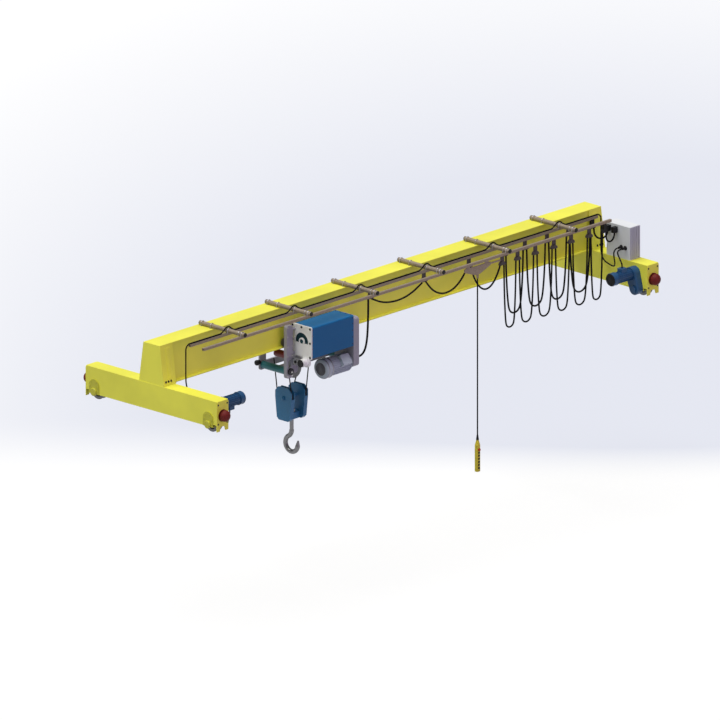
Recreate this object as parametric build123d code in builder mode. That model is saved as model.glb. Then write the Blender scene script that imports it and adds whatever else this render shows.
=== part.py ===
"""Single-girder overhead travelling bridge crane with a side-hung rope hoist, in millimetres.

X runs along the span, Y along the runway and away from the viewer, Z up. The origin is the point
where the tread of the front left wheel meets the top of its runway rail.
"""

import os
from math import acos, atan2, cos, degrees, hypot, pi, radians, sin, tan

from build123d import *

os.makedirs("parts", exist_ok=True)

# Runway and end carriages
RAIL_SPAN = 9750.0
WHEEL_BASE = 2450.0
TREAD_DIAMETER = 250.0
TREAD_WIDTH = 66.0
FLANGE_DIAMETER = 280.0
FLANGE_WIDTH = 15.0
HUB_DIAMETER = 120.0
HUB_WIDTH = 130.0
WHEEL_DISC = 40.0
RIM_DEPTH = 28.0
AXLE_DIAMETER = 60.0
AXLE_CLEARANCE = 0.3
SEAT_CLEARANCE = 0.2
CARRIAGE_WIDTH = 260.0
CARRIAGE_HEIGHT = 430.0
CARRIAGE_OVERHANG = 175.0
CARRIAGE_BOTTOM = 90.0
CARRIAGE_WEB = 8.0
CARRIAGE_FLANGE = 10.0
WHEEL_POCKET_LENGTH = 300.0
WHEEL_POCKET_WIDTH = 130.0
CORNER_NOTCH_LENGTH = 72.0
CORNER_NOTCH_HEIGHT = 46.0
END_PLATE = 12.0
END_PLATE_CLIP = 22.0
SWEEP_BOTTOM = 28.0
SWEEP_GAP = 130.0
SWEEP_GAP_TOP = 100.0
SPIGOT_DIAMETER = 110.0
COVER_WIDTH = 210.0
COVER_TOP = 330.0
COVER_PLATE = 12.0
CAP_DIAMETER = 130.0
CAP_LENGTH = 26.0
CAP_END = 10.0
AXLE_END_GAP = 4.0
BUFFER_HEIGHT = 280.0
BUFFER_DIAMETER = 184.0
BUFFER_LENGTH = 135.0
BUFFER_NECK_DIAMETER = 140.0
BUFFER_NECK = 30.0
BUFFER_SHOULDER = 62.0
BUFFER_PLATE_DIAMETER = 196.0
BUFFER_PLATE = 10.0

# Travel drives on the inner faces of the carriages, over the front wheels
DRIVE_BODY = 120.0
DRIVE_CHAMFER = 12.0
DRIVE_FOOT_RADIUS = 96.0
DRIVE_HEAD_RADIUS = 108.0
DRIVE_HEAD_Y = 70.0
DRIVE_HEAD_Z = 362.0
DRIVE_BORE_DEPTH = 100.0
DRIVE_BOSS_DIAMETER = 120.0
DRIVE_BOSS = 22.0
MOTOR_DIAMETER = 190.0
MOTOR_LENGTH = 330.0
MOTOR_FLANGE_DIAMETER = 214.0
MOTOR_FLANGE = 16.0
COWL_DIAMETER = 204.0
COWL_LENGTH = 96.0
MOTOR_FIN_DEPTH = 9.0
MOTOR_FIN_WIDTH = 7.0
MOTOR_FINS = 20
TERMINAL_LENGTH = 120.0
TERMINAL_WIDTH = 104.0
TERMINAL_HEIGHT = 42.0

# Box girder
GIRDER_OVERHANG = 115.0
GIRDER_HEIGHT = 650.0
TOP_PLATE_WIDTH = 350.0
TOP_PLATE = 10.0
WEB_SPACING = 330.0
GIRDER_WEB = 8.0
RUNWAY_FLANGE_WIDTH = 440.0
RUNWAY_FLANGE = 14.0
FOOT_LENGTH = 270.0
FOOT_WIDTH = 540.0
FOOT_PLATE = 10.0

# Cable arms and the two C-rails under them
ARM_COUNT = 6
ARM_END_DISTANCE = 1125.0
ARM_DIAMETER = 70.0
ARM_WALL = 5.0
ARM_BACK = 1360.0
ARM_FRONT = 400.0
C_RAIL_WIDTH = 40.0
C_RAIL_HEIGHT = 42.0
C_RAIL_WALL = 3.0
C_RAIL_SLOT = 14.0
C_RAIL_LEFT_INSET = 260.0
C_RAIL_RIGHT_INSET = 250.0
HOIST_RAIL_Y = 774.0
PENDANT_RAIL_Y = 484.0

# Cable carriers
ROLLER_DIAMETER = 24.0
ROLLER_WIDTH = 10.0
ROLLER_PITCH = 56.0
ROLLER_CLEARANCE = 0.3
STEM_THICKNESS = 8.0
STEM_LENGTH = 84.0
SADDLE_RADIUS = 62.0
SADDLE_WIDTH = 50.0
SADDLE_DROP = 143.0
CABLE_EXIT = 40.0
HOIST_TOW_LENGTH = 380.0
HOIST_CLAMP_INSET = 370.0
PENDANT_CLAMP_INSET = 400.0
# Gaps from each carrier to the next and at last to the clamp; the hoist line's share out their length
HOIST_GAPS = [1220.0, 1020.0, 800.0, 470.0, 500.0, 480.0, 540.0]
PENDANT_GAPS = [350.0, 400.0, 420.0, 390.0, 410.0, 340.0]

# Festoon cables
CABLE_GAP = 0.4
LOWERING_STEPS = 4
HOIST_CABLE = 26.0
PENDANT_LOOP_CABLE = 24.0
SHALLOW_LOOP_BOTTOMS = [810.0, 680.0, 530.0]
HOIST_LOOP_BOTTOM = 0.0
PENDANT_LOOP_DROP = 76.0
LOOP_END_ROUNDNESS = 0.86
FEED_ROUNDNESS = 0.93
# From the carrier to the round end: the share of the way in to its radius, and of the leg downwards
LOOP_LEG = [(0.0, 0.0), (0.07, 0.2), (0.18, 0.4), (0.36, 0.6), (0.61, 0.8)]
FEED_LEG = [(0.0, 0.0), (0.35, 0.5)]
LOOP_END_ANGLES = [14.0, 52.0, 90.0, 128.0, 166.0]
# Shares of the gap sideways and of the sag downwards
SHALLOW_LOOP = [
    (0.0, 0.0), (0.06, 0.26), (0.15, 0.56), (0.27, 0.82), (0.42, 0.98),
    (0.58, 0.98), (0.73, 0.82), (0.85, 0.56), (0.94, 0.26), (1.0, 0.0),
]

# Hoist trolley
COVER_LEFT = 2820.0
COVER_LENGTH = 950.0
HOIST_FRONT = 575.0
HOIST_BACK = 985.0
COVER_BOTTOM = 390.0
COVER_HEIGHT = 500.0
COVER_SHEET = 5.0
COVER_EDGE_RADIUS = 24.0
DRUM_DIAMETER = 300.0
DRUM_Y = 775.0
DRUM_Z = 640.0
DRUM_END_GAP = 16.0
DRUM_FLANGE_DIAMETER = 344.0
DRUM_FLANGE = 12.0
DRUM_SHAFT = 70.0
DRUM_GROOVE_PITCH = 40.0
DRUM_GROOVE = 5.0
END_PLATE_WHITE = 20.0
END_PLATE_MARGIN = 14.0
WINDOW_RADIUS = 140.0
WINDOW_SILL = 30.0
BEARING_HUB_DIAMETER = 116.0
SWITCH_DIAMETER = 150.0
SWITCH_BODY_DIAMETER = 130.0
SWITCH_CAP_DIAMETER = 104.0
SWITCH_FLANGE = 18.0
SWITCH_BODY = 84.0
SWITCH_CAP = 22.0
SWITCH_Y = 678.0
SWITCH_Z = 324.0
GEARBOX_LENGTH = 140.0
GEARBOX_BOTTOM = 30.0
GEARBOX_TOP = 840.0
GEARBOX_RADIUS = 60.0
GEARBOX_LID = 16.0
GEARBOX_LID_MARGIN = 28.0
HOIST_MOTOR_DIAMETER = 300.0
HOIST_MOTOR_LENGTH = 414.0
HOIST_MOTOR_Y = 750.0
HOIST_MOTOR_Z = 95.0
HOIST_MOTOR_FINS = 28
HOIST_FIN_DEPTH = 14.0
HOIST_FIN_WIDTH = 10.0
HOIST_COWL_DIAMETER = 316.0
HOIST_COWL_LENGTH = 110.0
HOIST_TERMINAL_LENGTH = 190.0
HOIST_TERMINAL_WIDTH = 170.0
HOIST_TERMINAL_HEIGHT = 40.0
HOIST_TERMINAL_SETBACK = 130.0
HOIST_TERMINAL_TILT = 35.0

# Trolley frame that carries the hoist under the girder
COLUMN_SETBACK = 220.0
COLUMN_WIDTH = 140.0
COLUMN_FRONT = 900.0
COLUMN_BACK = 965.0
COLUMN_BOTTOM = 40.0
COLUMN_TOP = 900.0
COLUMN_WINDOW = 70.0
COLUMN_WINDOW_Z = 270.0
TIE_DIAMETER = 46.0
TIE_HEIGHTS = [430.0, 820.0]
TIE_Y = 935.0
BACK_PLATE_FRONT = 1480.0
BACK_PLATE = 30.0
BACK_PLATE_BOTTOM = 60.0
BACK_PLATE_TOP = 690.0
BACK_BEAM_HEIGHT = 110.0
CROSS_TUBE_DIAMETER = 120.0
CROSS_TUBE_WALL = 8.0
CROSS_TUBE_Z = 140.0
TROLLEY_WHEEL_DIAMETER = 130.0
TROLLEY_WHEEL_WIDTH = 36.0
TROLLEY_WHEEL_RIM = 8.0
TROLLEY_WHEEL_RIM_DIAMETER = 148.0
TROLLEY_AXLE = 50.0
TROLLEY_WHEEL_GAP = 0.3
TIE_BEAM_Y = 1160.0
TIE_BEAM_WIDTH = 60.0
TIE_BEAM_HEIGHT = 80.0
RETURN_SHEAVE_Z = 50.0
RETURN_SHEAVE_DIAMETER = 300.0
RETURN_SHEAVE_WIDTH = 20.0
RETURN_CHEEK = 10.0
RETURN_CHEEK_WIDTH = 110.0
TRAVERSE_MOTOR_DIAMETER = 120.0
TRAVERSE_MOTOR_LENGTH = 240.0
TRAVERSE_MOTOR_DROP = 120.0

# Hook block, ropes and hook
HOOK_SETBACK = 230.0
SHEAVE_PITCH = 300.0
BLOCK_SHEAVE_DIAMETER = 310.0
BLOCK_SHEAVE_WIDTH = 46.0
ROPE_GROOVE = 12.0
BLOCK_SHEAVE_DROP = 400.0
CHEEK = 12.0
CHEEK_WIDTH = 350.0
CHEEK_RISE = 172.0
CHEEK_CLIP = 70.0
CHEEK_GAP = 4.0
CHEEK_DROP = 770.0
CHEEK_FOOT_WIDTH = 280.0
CHEEK_FOOT_CLIP = 40.0
SHEAVE_GUARD = 8.0
BLOCK_PIN = 60.0
CROSSHEAD_HEIGHT = 110.0
CROSSHEAD_DEPTH = 130.0
HOOK_SHANK = 64.0
HOOK_NUT = 110.0
HOOK_NUT_HEIGHT = 46.0
HOOK_CLEARANCE = 0.3
HOOK_NECK_DROP = 960.0
HOOK_NECK_TURN = 60.0
HOOK_BOWL_RADIUS = 130.0
HOOK_SECTION = 76.0
HOOK_TIP_ANGLE = -172.0
HOOK_TIP_LENGTH = 92.0
HOOK_TIP_TAPER = 15.0
ROPE_DIAMETER = 16.0
ROPE_GAP = 0.5

# Pendant control
PENDANT_TOW_LENGTH = 560.0
TROLLEY_PLATE_AHEAD = 290.0
TROLLEY_PLATE_BEHIND = 300.0
TROLLEY_PLATE_GAP = 28.0
TROLLEY_PLATE_HEIGHT = 144.0
TROLLEY_PLATE_FOOT = 110.0
TROLLEY_PLATE = 12.0
TOW_BAR_HEIGHT = 24.0
TOW_BAR_DROP = 30.0
TOW_GAP = 0.5
PENDANT_CABLE = 22.0
PENDANT_DROP = 1746.0
PENDANT_HEIGHT = 518.0
PENDANT_WIDTH = 74.0
PENDANT_DEPTH = 62.0
PENDANT_NECK = 32.0
PENDANT_TAPER = 90.0

# Control panel on the right carriage
PANEL_WIDTH = 240.0
PANEL_FRONT = 200.0
PANEL_LENGTH = 500.0
PANEL_HEIGHT = 535.0
PANEL_EDGE = 8.0
PANEL_DOOR = 18.0
PANEL_DOOR_MARGIN = 12.0
GLAND_DIAMETER = 40.0
GLAND_LENGTH = 60.0
GLAND_RISE = 185.0
MAIN_GLAND_Y = 380.0
DRIVE_GLAND_Y = 294.0
HOOD_LENGTH = 90.0
HOOD_WIDTH = 66.0
HOOD_HEIGHT = 90.0
HOOD_RISE = 410.0
HOOD_Y = {"pendant": 484.0, "hoist": 630.0}

# Fixed cables
DRIVE_CABLE = 22.0
HUMP_FOOT = 150.0
HUMP_SIDE = 80.0
HUMP_CREST = 35.0
LEFT_CABLE_POINTS = [
    (431.0, 70.0, 182.0), (430.0, 76.0, 140.0), (423.0, 105.0, 102.0), (408.0, 150.0, 86.0),
    (382.0, 205.0, 92.0), (344.0, 275.0, 118.0), (296.0, 360.0, 160.0), (248.0, 455.0, 216.0),
    (208.0, 560.0, 284.0), (186.0, 660.0, 362.0), (178.0, 735.0, 452.0), (176.0, 770.0, 560.0),
    (177.0, 774.0, 700.0), (177.0, 774.0, 1114.0), (202.0, 774.0, 1157.0), (245.0, 774.0, 1182.0),
]
# On the right the first number of a point is its distance inwards from the right rail
RIGHT_CABLE_POINTS = [
    (235.0, 774.0, 1182.0), (192.0, 774.0, 1157.0), (167.0, 774.0, 1114.0), (167.0, 774.0, 660.0),
    (168.0, 770.0, 560.0), (171.0, 745.0, 478.0), (175.0, 692.0, 428.0), (179.0, 628.0, 405.0),
    (182.0, 560.0, 390.0), (190.0, 496.0, 384.0), (206.0, 446.0, 400.0), (230.0, 413.0, 448.0),
    (258.0, 394.0, 514.0), (285.0, 384.0, 588.0), (291.0, 380.0, 661.0), (247.0, 380.0, 705.0),
]
MOTOR_CABLE_POINTS = [
    (247.0, 294.0, 705.0), (295.0, 280.0, 703.0), (337.0, 255.0, 695.0), (371.0, 219.0, 680.0),
    (397.0, 177.0, 659.0), (416.0, 133.0, 632.0), (428.0, 95.0, 596.0), (431.0, 70.0, 550.0),
]
DROP_CABLE = 30.0
DROP_GLAND_Z = 110.0
# The first number is the distance from the end of the gearbox's gland
DROP_CABLE_POINTS = [
    (340.0, 774.0, 820.0), (336.0, 774.0, 650.0), (327.0, 773.0, 490.0), (310.0, 770.0, 345.0),
    (278.0, 765.0, 228.0), (226.0, 758.0, 150.0), (152.0, 752.0, 112.0), (75.0, 750.0, 110.0),
]
FEED_DEPTH = 130.0

# Places worked out from the sizes above
AXLE_Z = TREAD_DIAMETER / 2
GIRDER_Y = WHEEL_BASE / 2
CARRIAGE_TOP = CARRIAGE_BOTTOM + CARRIAGE_HEIGHT
CARRIAGE_HALF = CARRIAGE_WIDTH / 2
CARRIAGE_LENGTH = WHEEL_BASE + 2 * CARRIAGE_OVERHANG
CARRIAGE_FRONT = GIRDER_Y - CARRIAGE_LENGTH / 2
CARRIAGE_BACK = GIRDER_Y + CARRIAGE_LENGTH / 2
GIRDER_BOTTOM = CARRIAGE_TOP
GIRDER_TOP = GIRDER_BOTTOM + GIRDER_HEIGHT
GIRDER_LENGTH = RAIL_SPAN + 2 * GIRDER_OVERHANG
FLANGE_TOP = GIRDER_BOTTOM + RUNWAY_FLANGE
ARM_Z = GIRDER_TOP + ARM_DIAMETER / 2
ARM_PITCH = (RAIL_SPAN - 2 * ARM_END_DISTANCE) / (ARM_COUNT - 1)
ARM_XS = [ARM_END_DISTANCE + i * ARM_PITCH for i in range(ARM_COUNT)]
C_RAIL_START = C_RAIL_LEFT_INSET
C_RAIL_END = RAIL_SPAN - C_RAIL_RIGHT_INSET
C_RAIL_TOP = GIRDER_TOP
C_RAIL_BOTTOM = C_RAIL_TOP - C_RAIL_HEIGHT
SADDLE_BOTTOM = C_RAIL_BOTTOM - SADDLE_DROP
TROLLEY_PLATE_TOP = C_RAIL_BOTTOM - TROLLEY_PLATE_GAP
TROLLEY_PLATE_BOTTOM = TROLLEY_PLATE_TOP - TROLLEY_PLATE_HEIGHT
TOW_BAR_Z = TROLLEY_PLATE_TOP - TOW_BAR_DROP
TRAVERSE_MOTOR_Z = GIRDER_BOTTOM - TRAVERSE_MOTOR_DROP
COVER_RIGHT = COVER_LEFT + COVER_LENGTH
GEARBOX_RIGHT = COVER_RIGHT + GEARBOX_LENGTH
DROP_GLAND_X = GEARBOX_RIGHT + GLAND_LENGTH
COLUMN_LEFT = COVER_LEFT - COLUMN_SETBACK
BLOCK_X = COVER_LEFT + HOOK_SETBACK
RETURN_SHEAVE_X = BLOCK_X
BLOCK_SHEAVE_Z = -BLOCK_SHEAVE_DROP
CHEEK_BOTTOM = -CHEEK_DROP
HOOK_NECK_BOTTOM = -HOOK_NECK_DROP
WHITE_PLATE_LEFT = COVER_LEFT - END_PLATE_WHITE
LEFT_AXLE_X = COLUMN_LEFT + COLUMN_WIDTH / 2
RIGHT_AXLE_X = COVER_RIGHT + GEARBOX_LENGTH / 2
TROLLEY_AXLE_Z = FLANGE_TOP + TROLLEY_WHEEL_DIAMETER / 2 + TROLLEY_WHEEL_GAP
FRONT_WHEEL_FACE = GIRDER_Y - RUNWAY_FLANGE_WIDTH / 2 - TROLLEY_WHEEL_RIM - TROLLEY_WHEEL_GAP
BACK_WHEEL_FACE = GIRDER_Y + RUNWAY_FLANGE_WIDTH / 2 + TROLLEY_WHEEL_RIM + TROLLEY_WHEEL_GAP
PANEL_LEFT = RAIL_SPAN - PANEL_WIDTH / 2
PANEL_RIGHT = RAIL_SPAN + PANEL_WIDTH / 2
GLAND_Z = CARRIAGE_TOP + GLAND_RISE
HOOD_BOTTOM = CARRIAGE_TOP + HOOD_RISE
FEED_BOTTOM = HOOD_BOTTOM - FEED_DEPTH
DRIVEN_AXLE_END = CARRIAGE_HALF + DRIVE_BORE_DEPTH - AXLE_END_GAP
IDLE_AXLE_END = CARRIAGE_HALF + COVER_PLATE + CAP_LENGTH - CAP_END - AXLE_END_GAP
HOIST_CLAMP_X = RAIL_SPAN - HOIST_CLAMP_INSET
FIRST_CARRIER_X = DROP_GLAND_X + HOIST_TOW_LENGTH
GAP_SCALE = (HOIST_CLAMP_X - FIRST_CARRIER_X) / sum(HOIST_GAPS)
HOIST_CARRIER_X = [FIRST_CARRIER_X + GAP_SCALE * sum(HOIST_GAPS[:i]) for i in range(len(HOIST_GAPS))]
PENDANT_CLAMP_X = RAIL_SPAN - PENDANT_CLAMP_INSET
PENDANT_CARRIER_X = [PENDANT_CLAMP_X - sum(PENDANT_GAPS[i:]) for i in range(len(PENDANT_GAPS))]
PENDANT_X = PENDANT_CARRIER_X[0] - PENDANT_TOW_LENGTH
TROLLEY_PLATE_LEFT = PENDANT_X - TROLLEY_PLATE_BEHIND
TROLLEY_PLATE_RIGHT = PENDANT_X + TROLLEY_PLATE_AHEAD
PENDANT_TOP = -PENDANT_DROP
PENDANT_LOOP_BOTTOM = -PENDANT_LOOP_DROP
SIDES = {"left": (0.0, 1), "right": (RAIL_SPAN, -1)}
WHEELS = {"front": 0.0, "rear": WHEEL_BASE}


def save(piece, node):
    piece.part.label = node
    export_step(piece.part, f"parts/{node}.step")


def side_plane(x, y, z, inward=1):
    """A plane whose local x is the span, pointing inwards, and whose local y is up."""
    return Plane(origin=(x, y, z), x_dir=(inward, 0, 0), z_dir=(0, -inward, 0))


def span_plane(x, y=0.0, z=0.0):
    """A plane square to the span: local x is Y, local y is Z, and extrusions go along +X."""
    return Plane(origin=(x, y, z), x_dir=(0, 1, 0), z_dir=(1, 0, 0))


def runway_plane(y, x=0.0, z=0.0):
    """A plane square to the runway: local x is X, local y is Z, and extrusions go along -Y."""
    return Plane(origin=(x, y, z), x_dir=(1, 0, 0), z_dir=(0, -1, 0))


def corner_radii(points, share=0.45):
    """The largest arc at each corner of a route that its two runs leave room for."""
    radii = []
    for before, corner, after in zip(points, points[1:], points[2:]):
        first = Vector(*corner) - Vector(*before)
        second = Vector(*after) - Vector(*corner)
        turn = radians(first.get_angle(second))
        radii.append(share * min(first.length, second.length) / tan(turn / 2))
    return radii


def hung(points, diameter):
    """Lowers both ends of a route so that the cut faces of its cable just clear what holds them."""

    def lowered(end, following):
        lower = end[2]
        for _ in range(LOWERING_STEPS):
            run = Vector(*following) - Vector(end[0], end[1], lower)
            sideways = hypot(run.X, run.Y) / run.length
            lower = end[2] - sideways * diameter / 2 - CABLE_GAP
        return (end[0], end[1], lower)

    return [lowered(points[0], points[1]), *points[1:-1], lowered(points[-1], points[-2])]


def round_tube(name, points, diameter):
    """A round tube along straight runs joined by the largest tangent arcs that fit."""
    radii = corner_radii(points)
    with BuildPart() as tube:
        with BuildLine():
            route = FilletPolyline(*points, radius=radii)
        with BuildSketch(Plane(origin=route @ 0, z_dir=route % 0)):
            Circle(diameter / 2)
        sweep(path=route)
    length = route.length
    share = tube.part.volume / (pi * diameter**2 / 4 * length)
    print(f"{name}: length {length:.0f}, tightest bend {min(radii):.0f}, volume share {share:.4f}")
    return tube.part


# End carriages: welded boxes with wheel pockets, bearing bores and clipped lower corners
def end_carriage(rail_x):
    with BuildPart() as carriage:
        with BuildSketch(runway_plane(CARRIAGE_BACK, rail_x, CARRIAGE_BOTTOM + CARRIAGE_HEIGHT / 2)):
            Rectangle(CARRIAGE_WIDTH, CARRIAGE_HEIGHT)
            Rectangle(
                CARRIAGE_WIDTH - 2 * CARRIAGE_WEB,
                CARRIAGE_HEIGHT - 2 * CARRIAGE_FLANGE,
                mode=Mode.SUBTRACT,
            )
        extrude(amount=CARRIAGE_LENGTH)
        with BuildSketch(Plane.XY.offset(CARRIAGE_BOTTOM)):
            with Locations(*[(rail_x, y) for y in WHEELS.values()]):
                Rectangle(WHEEL_POCKET_WIDTH, WHEEL_POCKET_LENGTH)
        extrude(amount=CARRIAGE_FLANGE, mode=Mode.SUBTRACT)
        with BuildSketch(Plane.XY.offset(CARRIAGE_BOTTOM)):
            for edge, inward in ((CARRIAGE_FRONT, 1), (CARRIAGE_BACK, -1)):
                with Locations((rail_x, edge + inward * CORNER_NOTCH_LENGTH / 2)):
                    Rectangle(CARRIAGE_WIDTH, CORNER_NOTCH_LENGTH)
        extrude(amount=CORNER_NOTCH_HEIGHT, mode=Mode.SUBTRACT)
        with BuildSketch(span_plane(rail_x - CARRIAGE_HALF)):
            with Locations(*[(y, AXLE_Z) for y in WHEELS.values()]):
                Circle(SPIGOT_DIAMETER / 2 + SEAT_CLEARANCE)
        extrude(amount=CARRIAGE_WIDTH, mode=Mode.SUBTRACT)
    return carriage


for side, (rail_x, inward) in SIDES.items():
    save(end_carriage(rail_x), f"end_carriage_{side}")


# End plates with two rail sweeps reaching down beside the rail head
with BuildPart() as end_plates:
    for rail_x, inward in SIDES.values():
        for face in (CARRIAGE_FRONT, CARRIAGE_BACK + END_PLATE):
            with BuildSketch(runway_plane(face, rail_x)):
                with BuildLine():
                    Polyline(
                        (-CARRIAGE_HALF, SWEEP_BOTTOM),
                        (-SWEEP_GAP / 2, SWEEP_BOTTOM),
                        (-SWEEP_GAP / 2 + END_PLATE_CLIP, SWEEP_GAP_TOP),
                        (SWEEP_GAP / 2 - END_PLATE_CLIP, SWEEP_GAP_TOP),
                        (SWEEP_GAP / 2, SWEEP_BOTTOM),
                        (CARRIAGE_HALF, SWEEP_BOTTOM),
                        (CARRIAGE_HALF, CARRIAGE_TOP - END_PLATE_CLIP),
                        (CARRIAGE_HALF - END_PLATE_CLIP, CARRIAGE_TOP),
                        (-CARRIAGE_HALF + END_PLATE_CLIP, CARRIAGE_TOP),
                        (-CARRIAGE_HALF, CARRIAGE_TOP - END_PLATE_CLIP),
                        close=True,
                    )
                make_face()
            extrude(amount=END_PLATE)
save(end_plates, "carriage_end_plates")


# Rubber buffers: a base plate and a mushroom head on each end plate
dome_height = BUFFER_LENGTH - BUFFER_SHOULDER
dome_radius = (dome_height**2 + (BUFFER_DIAMETER / 2) ** 2) / (2 * dome_height)
with BuildPart() as buffers:
    for rail_x, inward in SIDES.values():
        for face, out in ((CARRIAGE_FRONT - END_PLATE, -1), (CARRIAGE_BACK + END_PLATE, 1)):
            seat = Plane(origin=(rail_x, face, BUFFER_HEIGHT), x_dir=(0, out, 0), z_dir=(out, 0, 0))
            with BuildSketch(seat):
                with BuildLine():
                    Polyline(
                        (0, 0),
                        (0, BUFFER_PLATE_DIAMETER / 2),
                        (BUFFER_PLATE, BUFFER_PLATE_DIAMETER / 2),
                        (BUFFER_PLATE, BUFFER_NECK_DIAMETER / 2),
                        (BUFFER_NECK, BUFFER_DIAMETER / 2),
                        (BUFFER_SHOULDER, BUFFER_DIAMETER / 2),
                    )
                    RadiusArc((BUFFER_SHOULDER, BUFFER_DIAMETER / 2), (BUFFER_LENGTH, 0), dome_radius)
                    Line((BUFFER_LENGTH, 0), (0, 0))
                make_face()
            revolve(axis=Axis(seat.origin, seat.x_dir))
save(buffers, "rubber_buffers")


# Rail wheels: a flanged wheel turned in one piece with its axle
def rail_wheel(rail_x, wheel_y, inward, inner_end):
    half_tread = TREAD_WIDTH / 2
    half_wheel = half_tread + FLANGE_WIDTH
    axle = AXLE_DIAMETER / 2
    rim = TREAD_DIAMETER / 2 - RIM_DEPTH
    contour = [
        (half_tread, TREAD_DIAMETER / 2),
        (half_tread, FLANGE_DIAMETER / 2),
        (half_wheel, FLANGE_DIAMETER / 2),
        (half_wheel, rim),
        (WHEEL_DISC / 2, rim),
        (WHEEL_DISC / 2, HUB_DIAMETER / 2),
        (HUB_WIDTH / 2, HUB_DIAMETER / 2),
        (HUB_WIDTH / 2, axle),
    ]
    plane = side_plane(rail_x, wheel_y, AXLE_Z, inward)
    with BuildPart() as wheel:
        with BuildSketch(plane):
            with BuildLine():
                Polyline(
                    (-IDLE_AXLE_END, 0),
                    (-IDLE_AXLE_END, axle),
                    *[(-x, r) for x, r in reversed(contour)],
                    *contour,
                    (inner_end, axle),
                    (inner_end, 0),
                    close=True,
                )
            make_face()
        revolve(axis=Axis(plane.origin, plane.x_dir))
    return wheel


for side, (rail_x, inward) in SIDES.items():
    for place, wheel_y in WHEELS.items():
        inner_end = DRIVEN_AXLE_END if place == "front" else IDLE_AXLE_END
        save(rail_wheel(rail_x, wheel_y, inward, inner_end), f"rail_wheel_{place}_{side}")


# Bearing covers: arched plates with a spigot in the web and a domed cap over the axle end
def bearing_cover(rail_x, wheel_y, outward):
    face = span_plane(rail_x + outward * CARRIAGE_HALF, wheel_y)
    plane = side_plane(rail_x, wheel_y, AXLE_Z, outward)
    cap_end = CARRIAGE_HALF + COVER_PLATE + CAP_LENGTH
    shoulder = COVER_TOP - COVER_WIDTH / 2
    with BuildPart() as cover:
        with BuildSketch(face):
            with BuildLine():
                Polyline(
                    (-COVER_WIDTH / 2, shoulder),
                    (-COVER_WIDTH / 2, CARRIAGE_BOTTOM),
                    (COVER_WIDTH / 2, CARRIAGE_BOTTOM),
                    (COVER_WIDTH / 2, shoulder),
                )
                ThreePointArc((COVER_WIDTH / 2, shoulder), (0, COVER_TOP), (-COVER_WIDTH / 2, shoulder))
            make_face()
        extrude(amount=outward * COVER_PLATE)
        with BuildSketch(plane):
            with BuildLine():
                Polyline(
                    (CARRIAGE_HALF - CARRIAGE_WEB, 0),
                    (CARRIAGE_HALF - CARRIAGE_WEB, SPIGOT_DIAMETER / 2),
                    (CARRIAGE_HALF + COVER_PLATE / 2, SPIGOT_DIAMETER / 2),
                    (CARRIAGE_HALF + COVER_PLATE / 2, CAP_DIAMETER / 2),
                    (cap_end - CAP_END, CAP_DIAMETER / 2),
                    (cap_end, CAP_DIAMETER / 2 - CAP_END),
                    (cap_end, 0),
                    close=True,
                )
            make_face()
        revolve(axis=Axis(plane.origin, plane.x_dir))
        with BuildSketch(span_plane(rail_x, wheel_y, AXLE_Z)):
            Circle(AXLE_DIAMETER / 2 + AXLE_CLEARANCE)
        extrude(amount=outward * (cap_end - CAP_END), mode=Mode.SUBTRACT)
    return cover.part


pieces = []
for rail_x, inward in SIDES.values():
    pieces.append(bearing_cover(rail_x, WHEELS["front"], -inward))
    pieces.append(bearing_cover(rail_x, WHEELS["rear"], -inward))
    pieces.append(bearing_cover(rail_x, WHEELS["rear"], inward))
with BuildPart() as bearing_covers:
    add(pieces)
save(bearing_covers, "bearing_covers")


# Travel gearboxes: a flat upright case from the driven axle up to the motor
def travel_gearbox(rail_x, inward):
    face = CARRIAGE_HALF
    with BuildPart() as gearbox:
        with BuildSketch(span_plane(rail_x + inward * face)) as case:
            with Locations((0, AXLE_Z)):
                Circle(DRIVE_FOOT_RADIUS)
            with Locations((DRIVE_HEAD_Y, DRIVE_HEAD_Z)):
                Circle(DRIVE_HEAD_RADIUS)
            make_hull()
        extrude(amount=inward * DRIVE_BODY)
        chamfer(gearbox.faces().sort_by(Axis.X)[-1 if inward > 0 else 0].edges(), DRIVE_CHAMFER)
        with BuildSketch(span_plane(rail_x + inward * (face + DRIVE_BODY), 0, AXLE_Z)):
            Circle(DRIVE_BOSS_DIAMETER / 2)
        extrude(amount=inward * DRIVE_BOSS)
        with BuildSketch(span_plane(rail_x + inward * face, 0, AXLE_Z)):
            Circle(SPIGOT_DIAMETER / 2)
        extrude(amount=-inward * CARRIAGE_WEB)
        with BuildSketch(span_plane(rail_x, 0, AXLE_Z)):
            Circle(AXLE_DIAMETER / 2 + AXLE_CLEARANCE)
        extrude(amount=inward * (face + DRIVE_BORE_DEPTH), mode=Mode.SUBTRACT)
    return gearbox


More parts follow.
